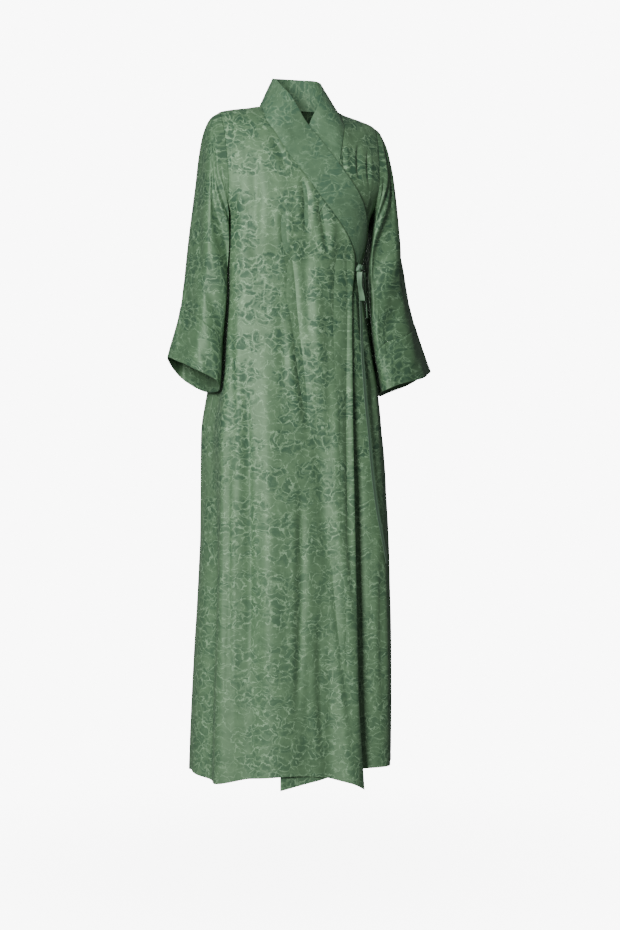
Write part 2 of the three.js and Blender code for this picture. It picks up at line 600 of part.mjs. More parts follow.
// Fronts: each from its collar seam or free edge to the armhole and side seam
function addFront(name, armhole, edge, hemTable, extraFolds, off, count) {
  const edgeX = column(edge, "z", "x");
  const hem = column(hemTable, "turn", "z");
  const rows = panelLevels.map((level) => row(
    [
      angleAt(edgeX(level), level),
      angleAt(armhole.side * cornerX(armhole.side, level), level),
      sideAngle(armhole, level),
    ],
    [count, COLUMNS.side],
    (angle) => {
      const x = bodyPoint(angle, level, -1, hem).x;
      return bodyPoint(angle, level, -1, hem, extraFolds, off(x, level));
    },
  ));
  for (const point of rows[0]) point.y -= SEAM_GAP;
  const plane = armhole.side < 0 ? "right" : "left";
  const last = count + COLUMNS.side;
  addPiece(
    name,
    clothWall(rows, CLOTH, {
      flat: (i, j) => {
        const planesHere = i === 0 ? [ACROSS_Y] : [];
        if (j === last) planesHere.push(sidePlane(i, plane));
        return planesHere;
      },
      inwards: armhole.side > 0,
    }),
    COLOUR.panel,
  );
}
const noLap = () => 0;
addFront("front_right", ARMHOLE.right, RIGHT_EDGE, RIGHT_HEM, [], lapOff, COLUMNS.frontRight);
addFront("front_left", ARMHOLE.left, LEFT_EDGE, LEFT_HEM, LEFT_FOLDS, noLap, COLUMNS.frontLeft);

// The place on the front at a sideways place and height, standing off it
function onFront(x, z, off, extraFolds = []) {
  return bodyPoint(angleAt(x, z), z, -1, () => -LENGTH, extraFolds, off);
}

// Collar: each half runs up its front, over the shoulder and round to the centre back
function collarRows(side, edge, table, off) {
  const edgeX = column(edge, "z", "x");
  const free = Object.fromEntries(
    ["x", "z", "y", "standing"].map((name) => [name, column(table, "level", name)]));
  const levels = panelLevels.filter((level) => level >= COLLAR_END).reverse();
  const rows = levels.map((level) => {
    const seam = onFront(edgeX(level), level, off(edgeX(level), level) + COLLAR_PROUD);
    const x = free.x(level);
    const z = free.z(level);
    const standing = free.standing(level);
    return Array.from({ length: COLUMNS.collar + 1 }, (_, j) => {
      const share = mix(COLLAR_START, 1, j / COLUMNS.collar);
      const bow = Math.sin(Math.PI * share);
      const flatX = mix(edgeX(level), x, share);
      const flatZ = Math.min(mix(level, z, share), COLLAR_LYING_TOP);
      const lying = onFront(flatX, flatZ, off(flatX, flatZ) + COLLAR_PROUD);
      const upright = new THREE.Vector3(
        mix(seam.x, x, share),
        mix(seam.y, free.y(level), share) - COLLAR_BULGE * bow,
        mix(seam.z, z, share),
      );
      const root = standing > 0 ? 1 - smooth(0, COLLAR_ROOT, share) * (1 - standing) : 0;
      return lying.lerp(upright, Math.max(standing, root));
    });
  });
  const back = Object.fromEntries(
    ["seamX", "seamY", "seamZ", "edgeX", "edgeY", "edgeZ"].map((name) => [
      name, column(NECK_BACK, "share", name)]));
  for (let k = 1; k <= NECK_BACK_ROWS; k += 1) {
    const share = k / NECK_BACK_ROWS;
    const start = rows[levels.length - 1];
    const keep = 1 - smooth(0, COLLAR_BLEND, share);
    const gap = k === NECK_BACK_ROWS ? SEAM_GAP : 0;
    rows.push(Array.from({ length: COLUMNS.collar + 1 }, (_, j) => {
      const across = mix(COLLAR_START, 1, j / COLUMNS.collar);
      const bulge = BACK_BULGE * Math.sin(Math.PI * across);
      const x = mix(back.seamX(share), back.edgeX(share), across);
      const y = mix(back.seamY(share), back.edgeY(share), across);
      const z = mix(back.seamZ(share), back.edgeZ(share), across);
      const first = start[j];
      const firstX = mix(back.seamX(0), back.edgeX(0), across);
      const firstY = mix(back.seamY(0), back.edgeY(0), across);
      const firstZ = mix(back.seamZ(0), back.edgeZ(0), across);
      return new THREE.Vector3(
        side * (x + (bulge * x) / NECK_HALF + gap) + keep * (first.x - side * firstX),
        y + (bulge * y) / NECK_HALF + keep * (first.y - firstY),
        z + COLLAR_LIFT + keep * (first.z - firstZ - COLLAR_LIFT),
      );
    }));
  }
  return rows;
}
for (const [name, side, edge, table, off] of [
  ["collar_right", -1, RIGHT_EDGE, RIGHT_COLLAR, lapOff],
  ["collar_left", 1, LEFT_EDGE, LEFT_COLLAR, noLap],
]) {
  const rows = collarRows(side, edge, table, off);
  const flat = (i) => (i === rows.length - 1 ? [ACROSS_X] : []);
  addPiece(name, clothWall(rows, COLLAR_CLOTH, { flat, inwards: side > 0 }), COLOUR.collar);
}

// The armhole's front and back depth at each height in its plane
function armholeCurve(armhole) {
  const steps = Array.from({ length: DENSE + 1 }, (_, i) => {
    const level = (-UNDERARM_DROP * i) / DENSE;
    const angle = sideAngle(armhole, level);
    const front = bodyPoint(angle, level, -1, () => -LENGTH);
    const back = bodyPoint(angle, level, 1, () => -LENGTH);
    return { z: front.z, front: front.y, back: back.y };
  });
  return { front: column(steps, "z", "front"), back: column(steps, "z", "back") };
}

function sleevePoint(table, armhole, curve, share, round, proud) {
  const degrees = ((round % 360) + 360) % 360;
  const front = degrees <= 180;
  const cosine = Math.cos(round * RADIANS);
  const sine = Math.abs(Math.sin(round * RADIANS));
  const z = mix(table.inZ(share), table.outZ(share), (1 + cosine) / 2);
  const folded = cosine > 0 ? mix(sine, sine * sine, table.fold(share)) : sine;
  const depth = front ? -table.front(share) : table.back(share);
  const lean = front ? table.lean(share) * smooth(LEAN_FROM, LEAN_TO, cosine) : 0;
  const across = mix(table.inX(share), table.outX(share), (1 + cosine) / 2);
  const x = across + lean * depth * sine;
  const cutZ = mix(-UNDERARM_DROP, armhole.topZ, (1 + cosine) / 2);
  const cutY = front ? curve.front(cutZ) : curve.back(cutZ);
  const swing = table.swing(share) * cosine * (table.outX(share) - table.inX(share)) / 2;
  const open = smooth(0, ARMHOLE_EASE, share);
  const level = mix(cutY, ARM_MIDDLE + depth * folded, open);
  const y = level + swing * open;
  let out = proud;
  for (const fold of SLEEVE_FOLDS) {
    const along = clamp((share - fold.from) / (fold.to - fold.from), 0, 1);
    const centre = mix(fold.startRound, fold.endRound, along);
    const away = (degrees - centre) / fold.width;
    const end = fold.to >= 1 ? 1 : 1 - smooth(FOLD_END, 1, along);
    out += fold.depth * smooth(0, 1 - FOLD_END, along) * end * Math.exp(-0.5 * away * away);
  }
  const outward = new THREE.Vector3(
    cosine * (table.outX(share) - table.inX(share)),
    2 * depth * folded,
    cosine * (table.outZ(share) - table.inZ(share)),
  ).normalize().multiplyScalar(out);
  return new THREE.Vector3(
    armhole.side * (x + outward.x + SEAM_GAP * (1 - smooth(0, CUFF_GAP, share))),
    y + outward.y,
    z + outward.z - table.drop(share) * (level > 0 ? smooth(0, table.back(share), level) : 0),
  );
}

function addSleeve(name, rows) {
  const names = ["outX", "outZ", "inX", "inZ", "front", "back", "fold", "lean", "swing", "drop"];
  const table = Object.fromEntries(names.map((key) => [key, column(rows, "at", key)]));
  const armhole = ARMHOLE[name];
  const curve = armholeCurve(armhole);
  const ring = (share, proud) => Array.from({ length: COLUMNS.sleeve }, (_, j) =>
    sleevePoint(table, armhole, curve, share, (360 * j) / COLUMNS.sleeve, proud));
  const sleeveRings = Array.from({ length: SLEEVE_ROWS + 1 }, (_, i) =>
    ring((i / SLEEVE_ROWS) ** TOP_CLOSER * (CUFF_FROM - CUFF_GAP), 0));
  const cuffRings = Array.from({ length: CUFF_ROWS + 1 }, (_, i) =>
    ring(mix(CUFF_FROM, 1, i / CUFF_ROWS), CUFF_PROUD));
  const inwards = armhole.side > 0;
  const cuffSeam = new THREE.Vector3(
    armhole.side * (table.outZ(CUFF_FROM) - table.inZ(CUFF_FROM)),
    0,
    table.inX(CUFF_FROM) - table.outX(CUFF_FROM),
  ).normalize();
  const sleeveFlat = (i) => {
    if (i === 0) return [planes[name]];
    return i === SLEEVE_ROWS ? [cuffSeam] : [];
  };
  const cuffFlat = (i) => (i === 0 ? [cuffSeam] : []);
  addPiece(
    `sleeve_${name}`,
    clothWall(sleeveRings, CLOTH, { round: true, flat: sleeveFlat, inwards }),
    COLOUR.sleeve,
  );
  addPiece(
    `cuff_${name}`,
    clothWall(cuffRings, CUFF_CLOTH, { round: true, flat: cuffFlat, inwards }),
    COLOUR.sleeve,
  );
}
addSleeve("right", RIGHT_SLEEVE);
addSleeve("left", LEFT_SLEEVE);

// Tie: flat strips that hang or run on the outside of the fronts
function strip(centres, acrossAt, width) {
  const rows = centres.map((centre, i) => {
    const across = acrossAt(i).clone().normalize().multiplyScalar(width / 2);
    return [centre.clone().sub(across), centre.clone(), centre.clone().add(across)];
  });
  return rows;
}

function surfaceAcross(x, z) {
  return onFront(x + 4, z, 0).sub(onFront(x - 4, z, 0));
}

function addTail(name, table) {
  const centres = table.map(({ x, z, off }) => onFront(x, z, off));
  const rows = strip(centres, (i) => surfaceAcross(table[i].x, table[i].z), TIE_WIDTH);
  addPiece(name, clothWall(rows, TIE_CLOTH, { inwards: true }), COLOUR.tie);
}
addTail("tie_tail_long", LONG_TAIL);
addTail("tie_tail_short", SHORT_TAIL);

const sideRun = SIDE_RUN.map(({ x, z, off }) => onFront(x, z, off));
const upward = new THREE.Vector3(0, 0, 1);
addPiece(
  "tie_side_run",
  clothWall(strip(sideRun, () => upward, TIE_WIDTH), TIE_CLOTH, { inwards: true }),
  COLOUR.tie,
);

// The bow's one loop: a strip that drops from the knot and comes back up beside itself
const bowTop = onFront(KNOT.x - 4, KNOT.z - 11, BOW_OFF);
const bowOut = onFront(KNOT.x, KNOT.z, 10).sub(onFront(KNOT.x, KNOT.z, 0)).normalize();
const bowSide = surfaceAcross(KNOT.x, KNOT.z).normalize();
const BOW_STEPS = 16;
const bowCentres = Array.from({ length: BOW_STEPS + 1 }, (_, i) => {
  const turn = (Math.PI * 2 * (i + 1)) / (BOW_STEPS + 2);
  const down = (BOW_DROP / 2) * (1 - Math.cos(turn));
  return bowTop.clone()
    .addScaledVector(bowSide, -BOW_HALF * Math.sin(turn))
    .addScaledVector(upward, -down);
});
// Its strands turn their flat side to the front half way down
function bowAcross(i) {
  const turned = 0.9 * Math.sin((Math.PI * 2 * (i + 1)) / (BOW_STEPS + 2)) ** 2;
  return bowOut.clone().multiplyScalar(1 - turned).addScaledVector(bowSide, turned);
}
addPiece("tie_bow", clothWall(strip(bowCentres, bowAcross, TIE_WIDTH), TIE_CLOTH), COLOUR.tie);

// The knot: a pinched lump of the same cloth
const knot = new THREE.IcosahedronGeometry(0.5, 2);
knot.deleteAttribute("normal");
knot.deleteAttribute("uv");
knot.scale(KNOT.wide, KNOT.deep, KNOT.high);
const knotAt = onFront(KNOT.x, KNOT.z, KNOT.off);
knot.translate(...knotAt.toArray());
addPiece("tie_knot", knot, COLOUR.tie);

export default garment;
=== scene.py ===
import math

import bpy
import numpy as np
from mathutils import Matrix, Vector


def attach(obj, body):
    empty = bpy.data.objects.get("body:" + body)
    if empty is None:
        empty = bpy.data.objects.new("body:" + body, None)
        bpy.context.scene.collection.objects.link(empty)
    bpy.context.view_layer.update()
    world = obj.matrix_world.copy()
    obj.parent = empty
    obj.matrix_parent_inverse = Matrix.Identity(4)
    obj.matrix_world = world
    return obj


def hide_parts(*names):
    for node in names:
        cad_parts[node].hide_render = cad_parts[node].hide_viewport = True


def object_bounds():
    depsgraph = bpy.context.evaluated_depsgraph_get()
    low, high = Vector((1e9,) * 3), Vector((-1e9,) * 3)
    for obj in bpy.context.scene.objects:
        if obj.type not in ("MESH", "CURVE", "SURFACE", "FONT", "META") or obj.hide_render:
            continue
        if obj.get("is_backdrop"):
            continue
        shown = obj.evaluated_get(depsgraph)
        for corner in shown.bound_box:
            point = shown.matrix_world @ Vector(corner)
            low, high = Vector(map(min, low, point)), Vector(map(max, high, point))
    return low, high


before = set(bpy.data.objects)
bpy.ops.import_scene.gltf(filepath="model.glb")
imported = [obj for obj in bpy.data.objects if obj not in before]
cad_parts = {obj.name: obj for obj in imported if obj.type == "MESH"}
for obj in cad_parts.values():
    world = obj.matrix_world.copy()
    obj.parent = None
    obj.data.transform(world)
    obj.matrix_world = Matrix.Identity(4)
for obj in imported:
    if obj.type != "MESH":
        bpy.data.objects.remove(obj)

cad_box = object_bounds()

# Back panel
# One full-length piece of satin jacquard, cut from the shoulder seams and the back neck to the
# hem, joined to the sleeves at the armholes and to the fronts down the side seams.
# Sizes are in millimetres until a mesh is made; z is measured from the shoulder seam's neck end.

LENGTH = 1405  # shoulder seam down to the hem
NECK_HALF = 79  # from the middle to the collar seam on the shoulder
UNDERARM_DROP = 240
CLOTH = 1.1  # the satin with its turned seams behind it
SEAM_GAP = 0.05  # two pieces meet at their seam
PANEL_STEP = 5.2  # spacing of the panel's points
MM = 0.001  # in metres
FRONT_ROUND = 230  # how far below the shoulder seam the front is at its full depth
BACK_ROUND = 150
ROUND_POWER = 1.8  # 2 would round the shoulder as a quarter of an ellipse
NECK_SCOOP = 22  # the back stands away behind the neck as if its seam were this much higher
NECK_RISE = 6  # and its neck edge is higher in the middle
HEM_FROM = 900  # below this the rows turn gradually to the hem's own line
FOLD_CLEAR = 45  # the folds fade out this near to an armhole
CORNER = 140  # where the plan turns from its front or back to its side

# The garment from above at each height: z, reach to the right, left, front and back, the place
# of its middle line, and how square its corners are. The tie draws in the left side.
BODY = (
    (40, 205, 203, 128, 104, 5, 2.5),
    (-150, 205, 200, 128, 104, 5, 2.5),
    (-200, 192, 170, 128, 104, 5, 2.6),
    (-240, 168, 150, 127, 103, 5, 2.8),
    (-290, 164, 143, 124, 101, 7, 3),
    (-343, 165, 134, 117, 99, 8, 3),
    (-450, 168, 143, 122, 106, 10, 3),
    (-530, 174, 156, 126, 112, 11, 3),
    (-600, 182, 167, 130, 118, 12, 3),
    (-690, 195, 177, 134, 126, 14, 3),
    (-800, 197, 189, 140, 134, 16, 2.9),
    (-1020, 205, 199, 151, 147, 20, 2.8),
    (-1220, 214, 201, 160, 157, 24, 2.8),
    (-1440, 221, 203, 170, 168, 27, 2.7),
)
# The shoulder seam from the right side to the left: x and z
SHOULDER = (
    (-205, -64), (-170, -17), (-148, -11), (-110, -5), (-79, 0),
    (79, 0), (104, -9), (140, -19), (170, -30), (205, -72),
)
# Armhole seams lie in leaning planes: side, x and z at the top, x at the underarm
ARMHOLE_RIGHT = (-1, 170, -17, 168)
ARMHOLE_LEFT = (1, 170, -30, 150)

# Long folds of the skirt: z where it starts and is full, its direction in degrees from the front
# middle at the top and at the hem, its half width in degrees, and its depth outwards
FOLDS = (
    (-120, -330, -60, -60, 8, 12),
    (-250, -400, -84, -74, 8, -8),
    (-420, -1250, -47, -46, 7, -14),
    (-420, -1250, -30, -30, 11, 8),
    (-160, -320, -8, -6, 7, -5),
    (-330, -800, 6, 11, 5.5, -11),
    (-360, -900, 20, 24, 5, 8),
    (-620, -1150, -72, -71, 5, -14),
    (-620, -1200, -84, -83, 6, 8),
    (-650, -1200, 52, 53, 7, 8),
    (-650, -1200, 68, 68, 5, -10),
    (-650, -1200, 82, 83, 6, 7),
    (-500, -1200, 106, 104, 7, -12),
    (-520, -1200, 124, 122, 7, 10),
    (-450, -1150, 142, 140, 7, -14),
    (-480, -1200, 158, 159, 8, 9),
    (-430, -1150, 178, 180, 8, -12),
    (-480, -1200, -160, -160, 8, 10),
    (-450, -1150, -141, -142, 7, -13),
    (-520, -1200, -124, -123, 7, 10),
    (-560, -1200, -106, -105, 6, -11),
)
# The hem of the back panel: direction in degrees and z
BACK_HEM = (
    (90, -1388), (122, -1409), (140, -1402), (180, -1407),
    (218, -1402), (240, -1409), (270, -1394),
)


def smooth(start, end, value):
    t = np.clip((value - start) / (end - start), 0, 1)
    return t * t * (3 - 2 * t)


def mix(start, end, share):
    return start + (end - start) * share


def curve(rows, place=1):
    """A smooth curve through one column of a table, against its first column."""
    knots = sorted((row[0], row[place]) for row in rows)
    x = np.array([k[0] for k in knots], float)
    y = np.array([k[1] for k in knots], float)
    slope = np.diff(y) / np.diff(x)
    tangent = np.concatenate([slope[:1], np.zeros(len(x) - 2), slope[-1:]])
    before, after = slope[:-1], slope[1:]
    same = before * after > 0
    joined = 2 * before * after / np.where(same, before + after, 1)
    tangent[1:-1] = np.where(same, joined, 0)

    def at(value):
        value = np.asarray(value, float)
        i = np.clip(np.searchsorted(x, value, side="left") - 1, 0, len(x) - 2)
        span = x[i + 1] - x[i]
        t = np.clip((value - x[i]) / span, 0, 1)
        rise = t * t * (3 - 2 * t)
        bend = tangent[i] * t * (1 - t) ** 2 - tangent[i + 1] * t * t * (1 - t)
        return mix(y[i], y[i + 1], rise) + span * bend

    return at


half_right, half_left, front_depth, back_depth, middle, square = (
    curve(BODY, place) for place in range(1, 7)
)
shoulder = curve(SHOULDER)


def half(level, side):
    return np.where(side < 0, half_right(level), half_left(level))


def armhole_x(armhole, z):
    _, top_x, top_z, bottom_x = armhole
    return mix(top_x, bottom_x, (top_z - z) / (top_z + UNDERARM_DROP))


def fold_depth(folds, turn, z):
    total = 0
    for start, full, top_turn, hem_turn, width, depth in folds:
        share = np.clip((start - z) / (start + LENGTH), 0, 1)
        away = ((turn - mix(top_turn, hem_turn, share) + 540) % 360 - 180) / width
        total = total + depth * smooth(-start, -full, -z) * np.exp(-0.5 * away * away)
    return total


def rounding(drop, reach):
    left = 1 - np.clip(drop / reach, 0, 1)
    return (1 - left**ROUND_POWER) ** (1 / ROUND_POWER)


def body(angle, level, facing, hem, folds=(), off=0):
    """A point of the worn garment: angle 0 is the middle and 90 degrees the left side, and
    facing is -1 for the front and 1 for the back. Off is how far outside the surface it is."""
    level = level + 0 * angle
    power = 2 / square(level)
    sine = np.sin(angle)
    x = half(level, sine) * np.sign(sine) * np.abs(sine) ** power
    share = 1 - smooth(0, UNDERARM_DROP, -level)
    seam = shoulder(x)
    in_neck = np.clip(1 - (x / NECK_HALF) ** 2, 0, 1)
    scoop = NECK_SCOOP * in_neck**1.1 if facing > 0 else 0
    drop = seam * (1 - share) - level + scoop
    if facing > 0:
        depth = back_depth(level) * rounding(drop, BACK_ROUND)
    else:
        depth = front_depth(level) * rounding(drop, FRONT_ROUND)
    y = facing * depth * np.abs(np.cos(angle)) ** power
    turn = np.degrees(np.arctan2(x, -y))
    z = level + seam * share
    if facing > 0:
        z = z + NECK_RISE * in_neck * share
        turn = np.where(turn < 0, turn + 360, turn)
    z = z + (hem(turn) + LENGTH) * smooth(HEM_FROM, LENGTH, -level)
    inside = np.where(x < 0, armhole_x(ARMHOLE_RIGHT, z), armhole_x(ARMHOLE_LEFT, z))
    beside = smooth(0, FOLD_CLEAR, inside - np.abs(x))
    clear = np.maximum(beside, smooth(UNDERARM_DROP, UNDERARM_DROP + FOLD_CLEAR, -z))
    out = (fold_depth(FOLDS, turn, z) + fold_depth(folds, turn, z)) * clear + off
    radius = np.maximum(np.hypot(x, y), 1e-6)
    return np.stack([x + out * x / radius, middle(level) + y + out * y / radius, z], -1)


def angle_at(x, level):
    share = np.clip(np.abs(x) / half(level, x), 0, 1) ** (square(level) / 2)
    return np.sign(x) * np.arcsin(share)


def side_angle(armhole, level):
    """The angle at which a row ends: at the armhole, or below it at the side seam."""
    x = np.full_like(level, armhole[1])
    share = 1 - smooth(0, UNDERARM_DROP, -level)
    for _ in range(5):
        x = armhole_x(armhole, level + shoulder(armhole[0] * x) * share)
    ending = angle_at(armhole[0] * x, level)
    return np.where(level < -UNDERARM_DROP, armhole[0] * np.pi / 2, ending)


def corner_x(side, level):
    return side * np.minimum(CORNER, 0.85 * half(level, side))


# Closer points beside a seam or edge, drawn together where a stretch is shorter than this
NEAR_SEAM = np.array([0, 1.2, 2.6, 4.4, 7.0])
SHORT_STRETCH = 40
DENSE = 241  # trial points along a curve that is then divided evenly


def row_points(stops, counts, level, point_at):
    """Angles and distances along each row, evenly spaced in each stretch between the stops, with
    closer points beside a seam or edge at either end."""
    angles, along, start = [], [], np.zeros_like(level)
    for k, count in enumerate(counts):
        t = np.linspace(0, 1, DENSE)
        dense = stops[k][:, None] + (stops[k + 1] - stops[k])[:, None] * t
        points = point_at(dense, level[:, None])
        steps = np.linalg.norm(np.diff(points, axis=1), axis=2)
        length = np.concatenate([np.zeros((len(level), 1)), np.cumsum(steps, axis=1)], 1)
        rows, first, last = [], k == 0, k == len(counts) - 1
        for i in range(len(level)):
            end = length[i, -1]
            near = SEAM_GAP + NEAR_SEAM * min(1, end / SHORT_STRETCH)
            lead = near if first else np.zeros(1)
            tail = end - near[::-1] if last else np.array([end])
            between = np.linspace(lead[-1], tail[0], count + 1)[1:-1]
            rows.append(np.concatenate([lead if first else [], between, tail]))
        places = np.array(rows)
        angles.append(np.array([np.interp(p, l, d) for p, l, d in zip(places, length, dense)]))
        along.append(places + start[:, None])
        start = start + length[:, -1]
    return np.concatenate(angles, 1), np.concatenate(along, 1), start


NOISE_SIZE = 64  # the hills repeat after this many steps


def value_noise(u, v, seed):
    """Smooth random hills and hollows between -1 and 1, one to each whole step of u and v."""
    table = np.random.default_rng(seed).uniform(-1, 1, (NOISE_SIZE, NOISE_SIZE))
    i, j = np.floor(u).astype(int), np.floor(v).astype(int)
    fu, fv = u - i, v - j
    fu, fv = fu**3 * (fu * (fu * 6 - 15) + 10), fv**3 * (fv * (fv * 6 - 15) + 10)
    corner = lambda a, b: table[(i + a) % NOISE_SIZE, (j + b) % NOISE_SIZE]
    return mix(mix(corner(0, 0), corner(1, 0), fu), mix(corner(0, 1), corner(1, 1), fu), fv)


def crease_depth(creases, u, z):
    """Creases laid one by one: from (u, z) to (u, z), how far each bows to the side, its half width
    and its depth. Each is a trough, or a ridge where depth is above 0, with soft shoulders."""
    total = np.zeros_like(u)
    for u0, z0, u1, z1, bow, width, depth in creases:
        length = math.hypot(u1 - u0, z1 - z0)
        du, dz = (u1 - u0) / length, (z1 - z0) / length
        t = ((u - u0) * du + (z - z0) * dz) / length
        inside = np.clip(t, 0, 1)
        across = (u - u0) * dz - (z - z0) * du - bow * 4 * inside * (1 - inside)
        wide = width * (0.55 + 0.45 * np.sin(np.pi * inside**0.8))
        n = across / wide
        shape = np.exp(-n * n) - 0.3 * np.exp(-(((np.abs(n) - 1.8) / 0.9) ** 2))
        total += depth * shape * smooth(0, 0.3, t) * smooth(0, 0.4, 1 - t)
    return total


LEVELS = np.concatenate(
    [
        -np.array([0, 0.1, 0.4, 1, 2, 3.5, 5.5, 8, 11, 15]),
        -np.arange(20, LENGTH - 12, PANEL_STEP),
        -LENGTH + np.array([10, 7, 4.5, 2.5, 1, 0]),
    ]
)


def grid_mesh(name, points, uv, flip=False, wrap=False):
    """A mesh of quads through rows of points in millimetres; uv is the cloth's own flat place."""
    down, across = points.shape[:2]
    index = np.arange(down * across).reshape(down, across)
    columns = np.arange(across if wrap else across - 1)
    a = index[:-1][:, columns]
    b = index[:-1][:, (columns + 1) % across]
    c = index[1:][:, (columns + 1) % across]
    d = index[1:][:, columns]
    quads = np.stack([a, b, c, d] if flip else [a, d, c, b], -1).reshape(-1, 4)
    mesh = bpy.data.meshes.new(name)
    mesh.from_pydata((points.reshape(-1, 3) * MM).tolist(), [], quads.tolist())
    layer = mesh.uv_layers.new(name="cloth")
    corners = np.zeros(len(mesh.loops), np.int64)
    mesh.loops.foreach_get("vertex_index", corners)
    flat = uv.reshape(-1, 2)[corners] * MM
    if wrap:
        quad = flat.reshape(-1, 4, 2)
        width = float(uv[0, :, 0].max() - uv[0, :, 0].min()) * across / (across - 1) * MM
        jump = quad[:, :, 0].max(1) - quad[:, :, 0].min(1) > width / 2
        low = quad[:, :, 0] < quad[:, :, 0].mean(1)[:, None]
        quad[:, :, 0] += np.where(jump[:, None] & low, width, 0)
        flat = quad.reshape(-1, 2)
    layer.data.foreach_set("uv", flat.ravel())
    mesh.shade_smooth()
    piece = bpy.data.objects.new(name, mesh)
    bpy.context.scene.collection.objects.link(piece)
    return piece


def thicken(piece, thickness):
    """Gives a sheet its wall, on the inner side."""
    wall = piece.modifiers.new("wall", "SOLIDIFY")
    wall.thickness = thickness * MM
    wall.offset = -1


def srgb(code):
    """An sRGB hex colour as linear values."""
    parts = [int(code[i : i + 2], 16) / 255 for i in (1, 3, 5)]
    return [p / 12.92 if p <= 0.04045 else ((p + 0.055) / 1.055) ** 2.4 for p in parts] + [1]


# What the cloth's nodes have in common
FLAT_NOISE = {"noise_dimensions": "2D"}
CELLS = {"voronoi_dimensions": "2D", "feature": "F1", "Scale": 1, "Randomness": 1}
CELL_EDGES = {**CELLS, "feature": "DISTANCE_TO_EDGE"}
SOFT_STEP = {"interpolation_type": "SMOOTHSTEP"}
TIMES = {"operation": "MULTIPLY"}
TIMES_ADD = {"operation": "MULTIPLY_ADD"}


def add(tree, kind, settings=None, links=None):
    """Adds a node, sets its own settings and its sockets, and links what comes into it. A node
    in place of a socket stands for its first output."""
    node = tree.nodes.new("ShaderNode" + kind)
    for key, value in (settings or {}).items():
        if isinstance(key, int) or key in node.inputs:
            node.inputs[key].default_value = value
        else:
            setattr(node, key, value)
    for key, source in (links or {}).items():
        tree.links.new(getattr(source, "outputs", [source])[0], node.inputs[key])
    return node


